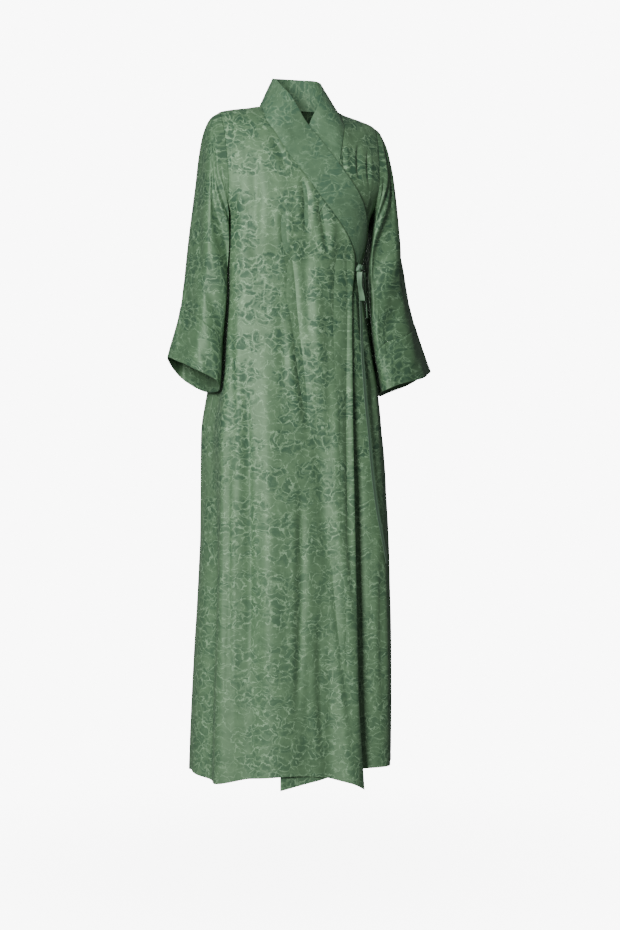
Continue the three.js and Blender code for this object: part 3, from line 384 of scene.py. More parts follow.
def satin_jacquard(name, ground, motif, vein, contrast, roughness):
    """Polyester satin jacquard: a bright satin ground with matter, darker sprays of petals, and
    pale wandering lines where the weave floats the other way."""
    material = bpy.data.materials.new(name)
    material.use_nodes = True
    tree = material.node_tree
    shader = tree.nodes["Principled BSDF"]
    place = add(tree, "UVMap", {"uv_map": "cloth"})
    flat = add(tree, "VectorMath", {"operation": "SCALE", "Scale": 1000}, {0: place})

    # The drawing is swayed by up to 15 mm, and its lines are made ragged by up to 6 mm
    sway = add(tree, "TexNoise", {**FLAT_NOISE, "Scale": 1 / 30, "Detail": 1}, {"Vector": flat})
    swayed = add(tree, "VectorMath", {**TIMES_ADD, 1: (30, 26, 0)}, {0: sway.outputs["Color"], 2: flat})
    ragged = add(
        tree, "TexNoise", {**FLAT_NOISE, "Scale": 1 / 8, "Detail": 4, "Roughness": 0.68}, {"Vector": flat}
    )
    bent = add(
        tree, "VectorMath", {**TIMES_ADD, 1: (13, 11, 0)}, {0: ragged.outputs["Color"], 2: swayed}
    )

    # Sprays of petals, about 88 mm apart across the cloth and 52 mm apart down it
    spray_place = add(tree, "VectorMath", {**TIMES, 1: (1 / 88, 1 / 52, 1)}, {0: swayed})
    spray = add(tree, "TexVoronoi", {**CELLS, "Randomness": 0.8}, {"Vector": spray_place})
    spray_reach = add(tree, "Math", {**TIMES_ADD, 1: 0.5}, {0: ragged, 2: spray})
    in_spray = add(
        tree, "MapRange", {**SOFT_STEP, "From Min": 0.76, "From Max": 0.64}, {"Value": spray_reach}
    )
    near_spray = add(
        tree, "MapRange", {**SOFT_STEP, "From Min": 0.95, "From Max": 0.68, "To Min": 0.35},
        {"Value": spray_reach},
    )

    # Petals about 20 by 14 mm, some left in the ground's own weave
    petal_place = add(tree, "VectorMath", {**TIMES, 1: (1 / 20, 1 / 14.5, 1)}, {0: bent})
    petal = add(tree, "TexVoronoi", CELL_EDGES, {"Vector": petal_place})
    petal_kind = add(tree, "TexVoronoi", CELLS, {"Vector": petal_place})
    chosen = add(
        tree, "MapRange", {**SOFT_STEP, "From Min": 0.1, "From Max": 0.3},
        {"Value": petal_kind.outputs["Color"]},
    )
    petal_body = add(
        tree, "MapRange", {**SOFT_STEP, "From Min": 0.05, "From Max": 0.17}, {"Value": petal}
    )
    in_petal = add(tree, "Math", TIMES, {0: petal_body, 1: chosen})
    petals = add(tree, "Math", TIMES, {0: in_petal, 1: in_spray})
    # Each petal is shaded by its own weave, fuller at one end
    shading = add(
        tree, "TexNoise", {**FLAT_NOISE, "Scale": 1 / 11, "Detail": 3, "Roughness": 0.6},
        {"Vector": swayed},
    )
    shade_range = add(
        tree, "MapRange", {"From Min": 0.36, "From Max": 0.56, "To Min": 0.3, "To Max": 1},
        {"Value": shading},
    )
    dark = add(tree, "Math", TIMES, {0: petals, 1: shade_range})

    # Pale lines about a millimetre wide between the petals
    petal_line = add(
        tree, "MapRange", {**SOFT_STEP, "From Min": 0.075, "From Max": 0.015}, {"Value": petal}
    )
    petal_lines = add(tree, "Math", TIMES, {0: petal_line, 1: near_spray})
    # and longer ones that wander over the ground in scallops and come and go
    wander_place = add(tree, "VectorMath", {**TIMES, 1: (1 / 42, 1 / 22, 1)}, {0: bent})
    wander = add(tree, "TexVoronoi", CELL_EDGES, {"Vector": wander_place})
    wander_line = add(
        tree, "MapRange", {**SOFT_STEP, "From Min": 0.04, "From Max": 0.006}, {"Value": wander}
    )
    lines = add(tree, "Math", {"operation": "MAXIMUM"}, {0: petal_lines, 1: wander_line})
    come_and_go = add(tree, "TexNoise", {**FLAT_NOISE, "Scale": 1 / 10, "Detail": 3}, {"Vector": bent})
    strength = add(
        tree, "MapRange", {"From Min": 0.4, "From Max": 0.62, "To Min": 0.06, "To Max": 1},
        {"Value": come_and_go},
    )
    pale = add(tree, "Math", TIMES, {0: lines, 1: strength})

    # Warp and weft floats: streaks under a millimetre wide that run up and down the cloth
    streak_place = add(tree, "VectorMath", {**TIMES, 1: (1 / 0.9, 1 / 30, 1)}, {0: flat})
    streak = add(tree, "TexNoise", {**FLAT_NOISE, "Scale": 1, "Detail": 2}, {"Vector": streak_place})
    # and a slow unevenness of the dyed ground over a few centimetres
    cloudy = add(
        tree, "TexNoise", {**FLAT_NOISE, "Scale": 1 / 24, "Detail": 3, "Roughness": 0.62},
        {"Vector": flat},
    )
    cloud = add(tree, "Math", {**TIMES_ADD, 1: 0.35}, {0: streak, 2: cloudy})
    ground_share = add(tree, "MapRange", {"From Min": 0.42, "From Max": 0.95}, {"Value": cloud})
    ground_colour = add(
        tree, "Mix", {"data_type": "RGBA", 6: srgb(ground[0]), 7: srgb(ground[1])}, {0: ground_share}
    )
    # The petals stand out less on the skirt than on the chest
    height = add(tree, "SeparateXYZ", {}, {0: flat})
    petal_contrast = add(
        tree,
        "MapRange",
        {"From Min": -600, "From Max": -950, "To Min": contrast, "To Max": contrast * 0.62},
        {"Value": height.outputs["Y"]},
    )
    dark_share = add(tree, "Math", TIMES, {0: dark, 1: petal_contrast})
    with_petals = add(
        tree, "Mix", {"data_type": "RGBA", 7: srgb(motif)}, {0: dark_share, 6: ground_colour.outputs[2]}
    )
    pale_share = add(tree, "Math", {**TIMES, 1: contrast * 0.75}, {0: pale})
    colour = add(
        tree, "Mix", {"data_type": "RGBA", 7: srgb(vein)}, {0: pale_share, 6: with_petals.outputs[2]}
    )
    tree.links.new(colour.outputs[2], shader.inputs["Base Color"])
    rough = add(tree, "MapRange", {"To Min": roughness, "To Max": roughness + 0.14}, {"Value": dark})
    tree.links.new(rough.outputs[0], shader.inputs["Roughness"])
    relief = add(tree, "Math", {**TIMES_ADD, 1: 0.5}, {0: streak, 2: pale})
    bump = add(tree, "Bump", {"Strength": 0.3, "Distance": 0.0002}, {"Height": relief})
    tree.links.new(bump.outputs[0], shader.inputs["Normal"])
    shader.inputs["Sheen Weight"].default_value = 0.03
    shader.inputs["Sheen Roughness"].default_value = 0.4
    shader.inputs["Specular IOR Level"].default_value = 1.0
    shader.inputs["Specular Tint"].default_value = srgb("#c8e4c4")
    shader.inputs["IOR"].default_value = 1.5
    return material


panel_cloth = satin_jacquard(
    "satin jacquard, panels", ("#49664a", "#5c7b5a"), "#214434", "#98bd95", 0.8, 0.57
)


def wear(piece, material, node):
    """Gives a piece its cloth and puts it in the place of its solid."""
    piece.data.materials.append(material)
    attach(piece, "root")
    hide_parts(node)


def seam_roll(distance, depth=0.3, reach=2.0):
    """Cloth turns in a little where it meets a seam."""
    return -depth * np.exp(-((distance / reach) ** 2))


def hem_stitch(z, height=34, width=1.6):
    """Hidden stitches draw the cloth in a little at the top of its turned hem."""
    return -0.5 * np.exp(-(((z + LENGTH - height) / width) ** 2))


def ripples(u, z, amount, seed):
    """The slow and quick unevenness of hanging satin, longer down the cloth than across it."""
    slow = value_noise(u / 74, z / 380, seed) * 3.4
    quick = value_noise(u / 31, z / 170, seed + 1) * 0.8
    fine = value_noise(u / 13, z / 60, seed + 2) * 0.16
    return (slow + quick + fine) * amount


BACK_CREASES = (
    (-150, -150, -60, -330, 14, 10, -3.5),
    (150, -150, 66, -320, -12, 11, -4),
    (-95, -60, -20, -210, 8, 14, -2.5),
    (110, -75, 34, -240, -9, 12, -2.8),
    (-40, -300, -52, -640, 6, 12, -5),
    (35, -320, 58, -700, -7, 11, -4.5),
    (95, -360, 112, -820, 5, 9, -5),
    (-118, -350, -134, -760, -6, 10, -4.5),
    (4, -360, 0, -560, 3, 8, -3),
    (-185, -420, -196, -800, 5, 8, -4),
    (178, -470, 190, -900, -5, 8, -4),
    (0, -760, 14, -1240, 8, 10, -4),
    (-70, -820, -92, -1300, -8, 9, -4.5),
    (84, -900, 96, -1340, 6, 9, -4),
    (-215, -900, -228, -1340, 4, 8, -3.5),
    (222, -960, 236, -1360, -4, 8, -3.5),
)
# The collar round the back of the neck, which the panel reaches out to over its top few
# centimetres: share of the way, then the seam's and the free edge's x, y and z
NECK_BACK = (
    (0, 79, 5, 0, 48.5, -8, 56), (0.25, 73, 27, 1.6, 48, 14, 62), (0.5, 57, 45, 3.8, 40, 34, 67),
    (0.75, 31, 58, 6.2, 23, 47, 70), (1, 0, 63, 7.2, 0, 52, 71),
)
NECK_FLARE = 75  # over this much of its top the panel reaches out
COLLAR_FOOT = 1.7  # the middle of the collar's foot outside its seam line
BACK_CUT = 413  # cut this far along the bolt from the fronts, the back doesn't mirror their drawing
back_hem = curve(BACK_HEM)
left_corner = angle_at(corner_x(1, LEVELS), LEVELS)
right_corner = angle_at(corner_x(-1, LEVELS), LEVELS)
back_stops = [
    side_angle(ARMHOLE_LEFT, LEVELS),
    left_corner,
    right_corner,
    side_angle(ARMHOLE_RIGHT, LEVELS),
]
back_base = lambda angle, level: body(angle, level, 1, back_hem)
back_angles, back_along, back_total = row_points(back_stops, [24, 62, 24], LEVELS, back_base)
column_zero = np.array([np.interp(0, -a, s) for a, s in zip(back_angles, back_along)])
back_u = column_zero[:, None] - back_along
back_z = body(back_angles, LEVELS[:, None], 1, back_hem)[..., 2]
edge_near = np.minimum(back_along, back_total[:, None] - back_along)
back_off = (
    crease_depth(BACK_CREASES, back_u, back_z) * smooth(0, 30, edge_near)
    + ripples(back_u, back_z, smooth(60, 420, -back_z), 11) * smooth(0, 24, edge_near)
    + seam_roll(edge_near)
    + seam_roll(-LEVELS[:, None], 0.8)
    + hem_stitch(back_z)
)
back_points = body(back_angles, LEVELS[:, None], 1, back_hem, off=back_off)
neck_way = np.linspace(1, 0, 101)
neck_foot = [curve(NECK_BACK, place)(neck_way) for place in (1, 2, 3)]
neck_side = np.abs(back_points[0, :, 0])
in_neck = neck_side < NECK_HALF
reach_y = np.interp(neck_side, neck_foot[0], neck_foot[1]) + COLLAR_FOOT - back_points[0, :, 1]
reach_z = np.interp(neck_side, neck_foot[0], neck_foot[2]) - back_points[0, :, 2]
neck_fade = smooth(-NECK_FLARE, 0, LEVELS)[:, None]
back_points[..., 1] += np.where(in_neck, np.maximum(reach_y, 0), 0) * neck_fade
back_points[..., 2] += np.where(in_neck, np.maximum(reach_z, 0), 0) * neck_fade ** 4
back_points[0, :, 1] += SEAM_GAP
back = grid_mesh("back_panel", back_points, np.stack([back_u + BACK_CUT, back_z], -1), flip=True)
thicken(back, CLOTH)
wear(back, panel_cloth, "back")

# Fronts
# Two full-length pieces of the same satin jacquard. The wearer's right front laps over the left
# one, and both end at the collar seam down to the waist and then at their own turned edge.

LAP = 4.5  # the right front stands off the left one
CORNER_U = 150  # the corner's place across the flat cloth
# Where each front ends towards the middle: z and x
RIGHT_EDGE = (
    (0, -79), (-32, -80), (-72, -65), (-111, -48), (-153, -20), (-206, 17), (-255, 56),
    (-290, 80), (-330, 95), (-365, 92), (-410, 87), (-600, 84), (-1000, 86), (-1219, 89),
    (-LENGTH, 101),
)
LEFT_EDGE = (
    (0, 80), (-35, 84), (-72, 75), (-104, 66), (-138, 57), (-172, 43), (-215, 22), (-262, -8),
    (-305, -42), (-330, -64), (-400, -70), (-600, -70), (-1000, -72), (-LENGTH, -76),
)
RIGHT_HEM = (
    (-90, -1394), (-63, -1409), (-44, -1396), (-20, -1390), (5, -1396), (20, -1408), (33, -1427),
)
LEFT_HEM = ((-28, -1421), (-8, -1408), (36, -1388), (53, -1386), (90, -1388))
# The left front sinks into a deep trough beside the edge that covers it
LEFT_FOLDS = ((-360, -1000, 41, 37, 7, -24),)
# Creases of the right front: from the waist and the armhole, and down the skirt
RIGHT_CREASES = (
    (-46, -265, -9, -740, 4, 12, -8),
    (5, -300, 16, -820, -3, 13, 5),
    (70, -150, 78, -1330, 2, 27, -9),
    (-88, -72, -62, -158, -3, 9, -3.2),
    (-32, -150, -8, -300, -3, 8, -4.8),
    (6, -196, 38, -335, -4, 9, -6),
    (-64, -225, -50, -335, 3, 7, -4.5),
    (-62, -330, -70, -640, -6, 12, -3.5),
    (-128, -105, -100, -420, 10, 13, -4),
    (-186, -560, -194, -1410, 3, 7, -6.5),
    (-150, -480, -155, -1300, -4, 9, -5),
    (-104, -430, -108, -1360, 3, 22, 4),
    (20, -830, 86, -1425, -5, 16, -8),
    (-150, -180, -118, -330, 8, 8, -2.5),
    (-165, -400, -180, -930, 4, 9, -4),
    (-36, -760, -52, -1330, -7, 10, -4.5),
    (-232, -860, -240, -1280, 6, 9, -1.5),
    (4, -1040, 12, -1380, 4, 9, -3.5),
)
LEFT_CREASES = (
    (82, -70, 78, -160, 3, 5, -3.2),
    (124, -76, 112, -170, 4, 6, -3.4),
    (146, -88, 138, -180, 3, 5, -3),
    (150, -190, 96, -330, -10, 8, -4),
    (170, -300, 110, -345, -5, 6, -3),
    (140, -360, 160, -760, 6, 9, -4),
    (190, -380, 200, -820, -5, 8, -4),
    (120, -700, 130, -1200, 6, 8, -4),
    (226, -700, 236, -1250, -4, 8, -4),
    (170, -900, 176, -1340, 5, 8, -4),
)


def lap_off(x, level):
    return LAP * smooth(-150, -90, x) * smooth(5, 45, -level)


def no_lap(x, level):
    return 0 * x


for name, node, armhole, corner, edge, hem_rows, folds, creases, lap, count, seed in (
    ("front_right_panel", "front_right", ARMHOLE_RIGHT, right_corner, RIGHT_EDGE, RIGHT_HEM, (),
     RIGHT_CREASES, lap_off, 58, 21),
    ("front_left_panel", "front_left", ARMHOLE_LEFT, left_corner, LEFT_EDGE, LEFT_HEM, LEFT_FOLDS,
     LEFT_CREASES, no_lap, 48, 31),
):
    side = armhole[0]
    hem = curve(hem_rows)
    stops = [angle_at(curve(edge)(LEVELS), LEVELS), corner, side_angle(armhole, LEVELS)]

    def front_base(angle, level):
        x = body(angle, level, -1, hem)[..., 0]
        return body(angle, level, -1, hem, folds, lap(x, level))

    angles, along, total = row_points(stops, [count, 24], LEVELS, front_base)
    base = body(angles, LEVELS[:, None], -1, hem)
    at_corner = np.array([np.interp(c * side, a * side, s) for c, a, s in zip(corner, angles, along)])
    u = side * (CORNER_U + along - at_corner[:, None])
    z = base[..., 2]
    to_seam = total[:, None] - along
    off = (
        lap(base[..., 0], LEVELS[:, None])
        + crease_depth(creases, u, z) * smooth(0, 30, to_seam) * smooth(0, 14, along)
        + ripples(u, z, smooth(90, 420, -z), seed) * smooth(0, 24, to_seam) * smooth(-4, 24, along)
        + seam_roll(to_seam)
        + seam_roll(-LEVELS[:, None], 0.8)
        + seam_roll(along, 0.9, 1.6)
        + hem_stitch(z)
    )
    points = body(angles, LEVELS[:, None], -1, hem, folds, off)
    points[0, :, 1] -= SEAM_GAP
    panel = grid_mesh(name, points, np.stack([u, z], -1), flip=side > 0)
    thicken(panel, CLOTH)
    wear(panel, panel_cloth, node)

# Collar
# A shawl collar of the same jacquard, doubled over a woven interfacing, in two halves joined at
# the centre back. It stands round the neck and lies down both fronts to the waist.

# The free edge across from each level on the seam: level, x, z, y, and how far it stands
RIGHT_COLLAR = (
    (0, -48, 57, -8, 1), (-12, -42, 39, -30, 1), (-26, -34, 21, -51, 1),
    (-45, -20, -8, -70, 0.9), (-68, -6, -35, -82, 0.5), (-95, 10, -60, -92, 0),
    (-125, 33, -97, -100, 0), (-155, 53, -128, -108, 0), (-185, 75, -160, -110, 0),
    (-215, 97, -192, -110, 0), (-245, 112, -222, -110, 0), (-270, 119, -252, -110, 0),
    (-295, 117, -287, -110, 0), (-330, 103, -334, -110, 0),
)
LEFT_COLLAR = (
    (0, 49, 54, -8, 1), (-12, 44, 35, -30, 1), (-26, 37, 15, -50, 1),
    (-45, 25, -10, -66, 0.9), (-68, 13, -33, -76, 0.5), (-95, 2, -58, -84, 0),
    (-125, -12, -86, -95, 0), (-155, -27, -116, -100, 0), (-185, -42, -148, -100, 0),
    (-215, -55, -182, -100, 0), (-245, -65, -218, -100, 0), (-270, -71, -250, -100, 0),
    (-295, -74, -285, -100, 0), (-330, -73, -334, -100, 0),
)
COLLAR_CLOTH = 2.4
COLLAR_LEVELS = np.concatenate(
    [-np.arange(330, 18, -4.0), -np.array([15, 11, 8, 5.5, 3.5, 2, 1, 0.4, 0.1, 0])]
)
level_hem = lambda turn: 0 * turn - LENGTH


def on_front(x, z, off=0):
    """A point on the fronts at a sideways place and height, standing off them."""
    x, z = np.asarray(x, float), np.asarray(z, float)
    return body(angle_at(x, z), z, -1, level_hem, (), off)


COLLAR_OFF = 0.6  # its outer face outside the fronts' surface
COLLAR_TOP = -8  # cloth that lies on the fronts doesn't reach above this
COLLAR_BOW = 5  # how far it bows out where it stands, at the neck's sides and behind
COLLAR_BOW_BACK = 2.5


def collar_points(side, edge, table, lap):
    """Rows of the collar from its low end, up the front and round to the centre back."""
    level = COLLAR_LEVELS[:, None]
    share = np.concatenate([[0.001, 0.02, 0.06], np.linspace(0.12, 0.94, 15), [0.97, 0.99, 1]])
    free_x, free_z, free_y, standing = (curve(table, place)(level) for place in range(1, 5))
    seam_x = curve(edge)(level)
    seam = on_front(seam_x, level, lap(seam_x, level) + COLLAR_OFF)
    flat_x = mix(seam_x, free_x, share)
    flat_z = np.minimum(mix(level, free_z, share), COLLAR_TOP)
    lying = on_front(flat_x, flat_z, lap(flat_x, flat_z) + COLLAR_OFF)
    bow = np.sin(np.pi * share)
    upright = np.stack(
        [
            mix(seam[..., 0], free_x, share),
            mix(seam[..., 1], free_y, share) - COLLAR_BOW * bow,
            mix(seam[..., 2], free_z, share),
        ],
        -1,
    )
    root = np.where(standing > 0, 1 - smooth(0, 0.5, share) * (1 - standing), 0)
    front = mix(lying, upright, np.maximum(standing, root)[..., None])
    way = np.linspace(0, 1, 25)[1:, None]
    seam_bx, seam_by, seam_bz, edge_bx, edge_by, edge_bz = (
        curve(NECK_BACK, place) for place in range(1, 7)
    )
    x = mix(seam_bx(way), edge_bx(way), share)
    y = mix(seam_by(way), edge_by(way), share)
    z = mix(seam_bz(way), edge_bz(way), share)
    bulge = COLLAR_BOW_BACK * bow
    gap = np.where(way == 1, SEAM_GAP / 5, 0)
    keep = 1 - smooth(0, 0.5, way)
    start = front[-1][None]
    back = np.stack(
        [
            side * (x + bulge * x / NECK_HALF + gap)
            + keep * (start[..., 0] - side * mix(seam_bx(0.0), edge_bx(0.0), share)),
            y + bulge * y / NECK_HALF + keep * (start[..., 1] - mix(seam_by(0.0), edge_by(0.0), share)),
            z + keep * (start[..., 2] - mix(seam_bz(0.0), edge_bz(0.0), share)),
        ],
        -1,
    )
    return np.concatenate([front, back]), share


def unit(vector):
    return vector / np.linalg.norm(vector, axis=-1, keepdims=True)


def distances(points):
    """How far along a line each of its points lies."""
    return np.concatenate([[0], np.cumsum(np.linalg.norm(np.diff(points, axis=0), axis=1))])


def outward_normals(points, flip, wrap=False):
    """The direction out of the cloth's right side at each point of a grid."""
    if wrap:
        along = np.roll(points, -1, 1) - np.roll(points, 1, 1)
    else:
        along = np.gradient(points, axis=1)
    down = np.gradient(points, axis=0)
    normal = np.cross(along, down) * (1 if flip else -1)
    return normal / np.maximum(np.linalg.norm(normal, axis=-1, keepdims=True), 1e-9)


def doubled(points, uv, thickness, flip):
    """A band of cloth folded on its last column: outer face, rolled edge and inner face."""
    normal = outward_normals(points, flip)
    edge = unit(points[:, -1] - points[:, -2])
    radius = thickness / 2
    roll, roll_uv = [], []
    for turn in np.radians([22, 45, 68, 90, 112, 135, 158]):
        roll.append(
            points[:, -1]
            + edge * radius * math.sin(turn)
            - normal[:, -1] * radius * (1 - math.cos(turn))
        )
        roll_uv.append(uv[:, -1] + (uv[:, -1] - uv[:, -2]) * 0.1 * turn)
    inner = points - normal * thickness
    loop = [points, np.stack(roll, 1), inner[:, ::-1]]
    loop_uv = [uv, np.stack(roll_uv, 1), uv[:, ::-1] + [17, 23]]
    return np.concatenate(loop, 1), np.concatenate(loop_uv, 1)


collar_cloth = satin_jacquard(
    "satin jacquard over interfacing, collar",
    ("#48664c", "#577658"), "#2c5141", "#8ab08a", 0.6, 0.62,
)
for name, node, side, edge, table, lap in (
    ("collar_right_half", "collar_right", -1, RIGHT_EDGE, RIGHT_COLLAR, lap_off),
    ("collar_left_half", "collar_left", 1, LEFT_EDGE, LEFT_COLLAR, no_lap),
):
    points, share = collar_points(side, edge, table, lap)
    along = distances(points[:, 0])
    width = np.linalg.norm(points[:, -1] - points[:, 0], axis=1).mean()
    uv = np.stack(np.broadcast_arrays(share[None] * width, along[:, None]), -1)
    normal = outward_normals(points, side > 0)
    soft = value_noise(uv[..., 1] / 46, uv[..., 0] / 30, 41 + side) * 0.9
    inward = smooth(0, 0.12, share) * smooth(0, 20, along[-1] - along)[:, None]
    points = points + normal * (soft * inward)[..., None]
    closed, closed_uv = doubled(points, uv, COLLAR_CLOTH, side > 0)
    collar = grid_mesh(name, closed, closed_uv, flip=side > 0)
    wear(collar, collar_cloth, node)

# Sleeves
# Wide straight sleeves of the panel's jacquard, each one piece with a seam under the arm, set
# into the armholes. They hang from the shoulder with long diagonal creases at the elbow.

# Share of the length, the outer line's x and z, the underarm line's x and z, the reach to the
# front and back, how sharply the outer line is folded, how far the front of the body side is
# drawn in as a share of the depth, how far the outer line swings back as a share of the half
# width, and the drop of the back edge
RIGHT_SLEEVE = (
    (0, 170, -17, 168, -240, 78, 80, 0, 0, 0, 0),
    (0.05, 184, -26, 172, -246, 80, 82, 0, 0, 0, 0),
    (0.1, 194, -40, 175, -253, 81, 83, 0, 0.08, 0.04, 0),
    (0.16, 201, -62, 178, -264, 81, 84, 0, 0.18, 0.1, 0),
    (0.23, 205, -92, 181, -280, 80, 84, 0, 0.29, 0.2, 0),
    (0.33, 211, -145, 183.5, -312, 80, 84, 0.1, 0.36, 0.3, 0),
    (0.45, 220, -215, 185.5, -360, 81, 85, 0.25, 0.4, 0.4, 0),
    (0.58, 230.5, -295, 187, -418, 82, 85, 0.4, 0.41, 0.4, 0),
    (0.7, 240, -368, 188, -474, 83, 84, 0.55, 0.38, 0.4, 0),
    (0.8, 247, -424, 188.5, -518, 83, 83, 0.7, 0.34, 0.4, 0),
    (0.9, 260.5, -478, 188.5, -562, 82, 82, 0.85, 0.3, 0.4, 0),
    (1, 275, -528, 188, -602, 80, 80, 0.95, 0.26, 0.4, 4),
)
LEFT_SLEEVE = (
    (0, 170, -30, 150, -240, 78, 80, 0, 0, 0, 0),
    (0.05, 182, -38, 153, -246, 80, 82, 0, 0, 0, 0),
    (0.1, 189, -50, 155, -253, 81, 83, 0, 0.07, 0.1, 0),
    (0.16, 197, -70, 157, -264, 81, 84, 0, 0.14, 0.22, 0),
    (0.23, 203, -98, 157, -280, 80, 84, 0, 0.22, 0.38, 0),
    (0.33, 212, -150, 155, -312, 79, 84, 0.1, 0.32, 0.52, 0),
    (0.45, 226.5, -222, 153, -360, 78, 85, 0.25, 0.4, 0.64, 0),
    (0.58, 246, -312, 153, -418, 77, 85, 0.4, 0.42, 0.68, 3),
    (0.7, 264.5, -388, 156, -474, 76, 84, 0.55, 0.41, 0.7, 6),
    (0.8, 280, -447, 161, -520, 76, 83, 0.7, 0.37, 0.7, 9),
    (0.9, 301, -499, 167.5, -562, 76, 82, 0.85, 0.32, 0.7, 12),
    (1, 322, -550, 173, -599, 76, 80, 0.95, 0.27, 0.7, 16),
)
# Where it starts and ends along the sleeve, its place round the sleeve in degrees at both ends
# (0 is the outer line, 90 the front), its half width in degrees and its depth
SLEEVE_FOLDS = (
    (0.12, 0.62, 38, 128, 12, -8), (0.2, 0.75, 24, 88, 13, 4), (0.5, 0.92, 70, 122, 11, -6),
    (0.35, 1, 40, 46, 13, -5), (0.15, 0.7, 318, 240, 13, -7), (0.45, 1, 300, 292, 14, -5),
)
SLEEVE_CREASES = (
    (0.2, 0.48, 60, 118, 7, -3), (0.3, 0.56, 78, 132, 6, -2.5), (0.42, 0.7, 30, 66, 7, -3),
    (0.55, 0.8, 44, 84, 6, -2), (0.08, 0.34, 100, 140, 8, -3), (0.25, 0.5, 292, 236, 7, -3),
    (0.4, 0.66, 330, 290, 7, -2.5), (0.56, 0.84, 262, 232, 7, -2.5), (0.1, 0.36, 250, 226, 8, -3),
    (0.62, 0.95, 12, 20, 6, -1.6), (0.05, 0.36, 26, 126, 9, -6), (0.1, 0.62, 10, 17, 9, -5),
    (0.14, 0.62, 40, 62, 10, 4), (0.34, 0.96, 110, 128, 12, -6), (0.5, 0.78, 46, 104, 8, -4),
    (0.28, 0.97, 226, 224, 24, 10),
)
SLEEVE_ROUND = 128  # points round it
SLEEVE_LENGTH = 560  # along the outer line, with the cuff
SLEEVE_MIDDLE = 5  # its middle line behind the robe's
DEGREE_WIDE = 1.2  # cloth to a degree round it
CUFF_FROM = 0.8
CUFF_CLOTH = 2.4
# The cuff's rolled end: its turns, and the shares of the length at which its drawing is laid
CUFF_TURNS = np.radians([30, 60, 90, 120, 150])
CUFF_ROLL = [1.002, 1.004, 1.005, 1.006, 1.008]


def armhole_curves(armhole):
    level = -UNDERARM_DROP * np.linspace(0, 1, DENSE) ** 2
    angle = side_angle(armhole, level)
    front = body(angle, level, -1, level_hem)
    back = body(angle, level, 1, level_hem)
    rows = list(zip(front[:, 2], front[:, 1], back[:, 1]))
    return curve(rows, 1), curve(rows, 2)


def sleeve_points(table, armhole, share, degrees, proud, seed):
    """Points of a sleeve at shares of its length and places round it."""
    share = share[:, None] + 0 * degrees[None]
    degrees = degrees[None] + 0 * share
    out_x, out_z, in_x, in_z, front, back, fold, lean, swing, drop = (
        curve(table, place)(share) for place in range(1, 11)
    )
    forward = degrees <= 180
    cosine, sine = np.cos(np.radians(degrees)), np.abs(np.sin(np.radians(degrees)))
    x = mix(in_x, out_x, (1 + cosine) / 2)
    z = mix(in_z, out_z, (1 + cosine) / 2)
    folded = np.where(cosine > 0, mix(sine, sine * sine, fold), sine)
    depth = np.where(forward, -front, back)
    x = x - np.where(forward, lean * front * sine * smooth(0.3, -0.5, cosine), 0)
    cut_z = mix(-UNDERARM_DROP, armhole[2], (1 + cosine) / 2)
    cut_front, cut_back = armhole_curves(armhole)
    cut_y = np.where(forward, cut_front(cut_z), cut_back(cut_z))
    level = mix(cut_y, SLEEVE_MIDDLE + depth * folded, smooth(0, 0.3, share))
    y = level + swing * cosine * (out_x - in_x) / 2 * smooth(0, 0.3, share)
    out = proud + 0 * share
    for start, end, first, last, width, deep in SLEEVE_FOLDS + SLEEVE_CREASES:
        t = np.clip((share - start) / (end - start), 0, 1)
        away = (degrees - mix(first, last, t)) / width
        fade = 1 if end >= 1 else 1 - smooth(0.7, 1, t)
        out = out + deep * smooth(0, 0.3, t) * fade * np.exp(-0.5 * away * away)
    wide = np.radians(degrees)
    uneven = value_noise(3 + 2.2 * np.cos(wide) + 6 * share, 3 + 2.2 * np.sin(wide), seed)
    small = value_noise(9 + 5 * np.cos(wide) + 14 * share, 9 + 5 * np.sin(wide), seed + 1)
    out = out + (2.2 * uneven + 0.9 * small) * smooth(0.03, 0.2, share)
    outward = np.stack([cosine * (out_x - in_x), 2 * depth * folded, cosine * (out_z - in_z)], -1)
    outward = unit(outward) * out[..., None]
    hang = drop * np.where(level > 0, smooth(0, back, level), 0)
    return np.stack(
        [armhole[0] * (x + outward[..., 0]), y + outward[..., 1], z + outward[..., 2] - hang], -1
    )


# The sleeves' jacquard is the panels' one with every colour darker: painted shade for the shade on the
# hanging sleeves, cuffs included.
sleeve_cloth_painted_shade = satin_jacquard(
    "satin jacquard, sleeves, darkened as painted shade", ("#415e43", "#537252"), "#204031", "#8db28b", 0.74, 0.57
)
ROUND = np.arange(SLEEVE_ROUND) * 360 / SLEEVE_ROUND
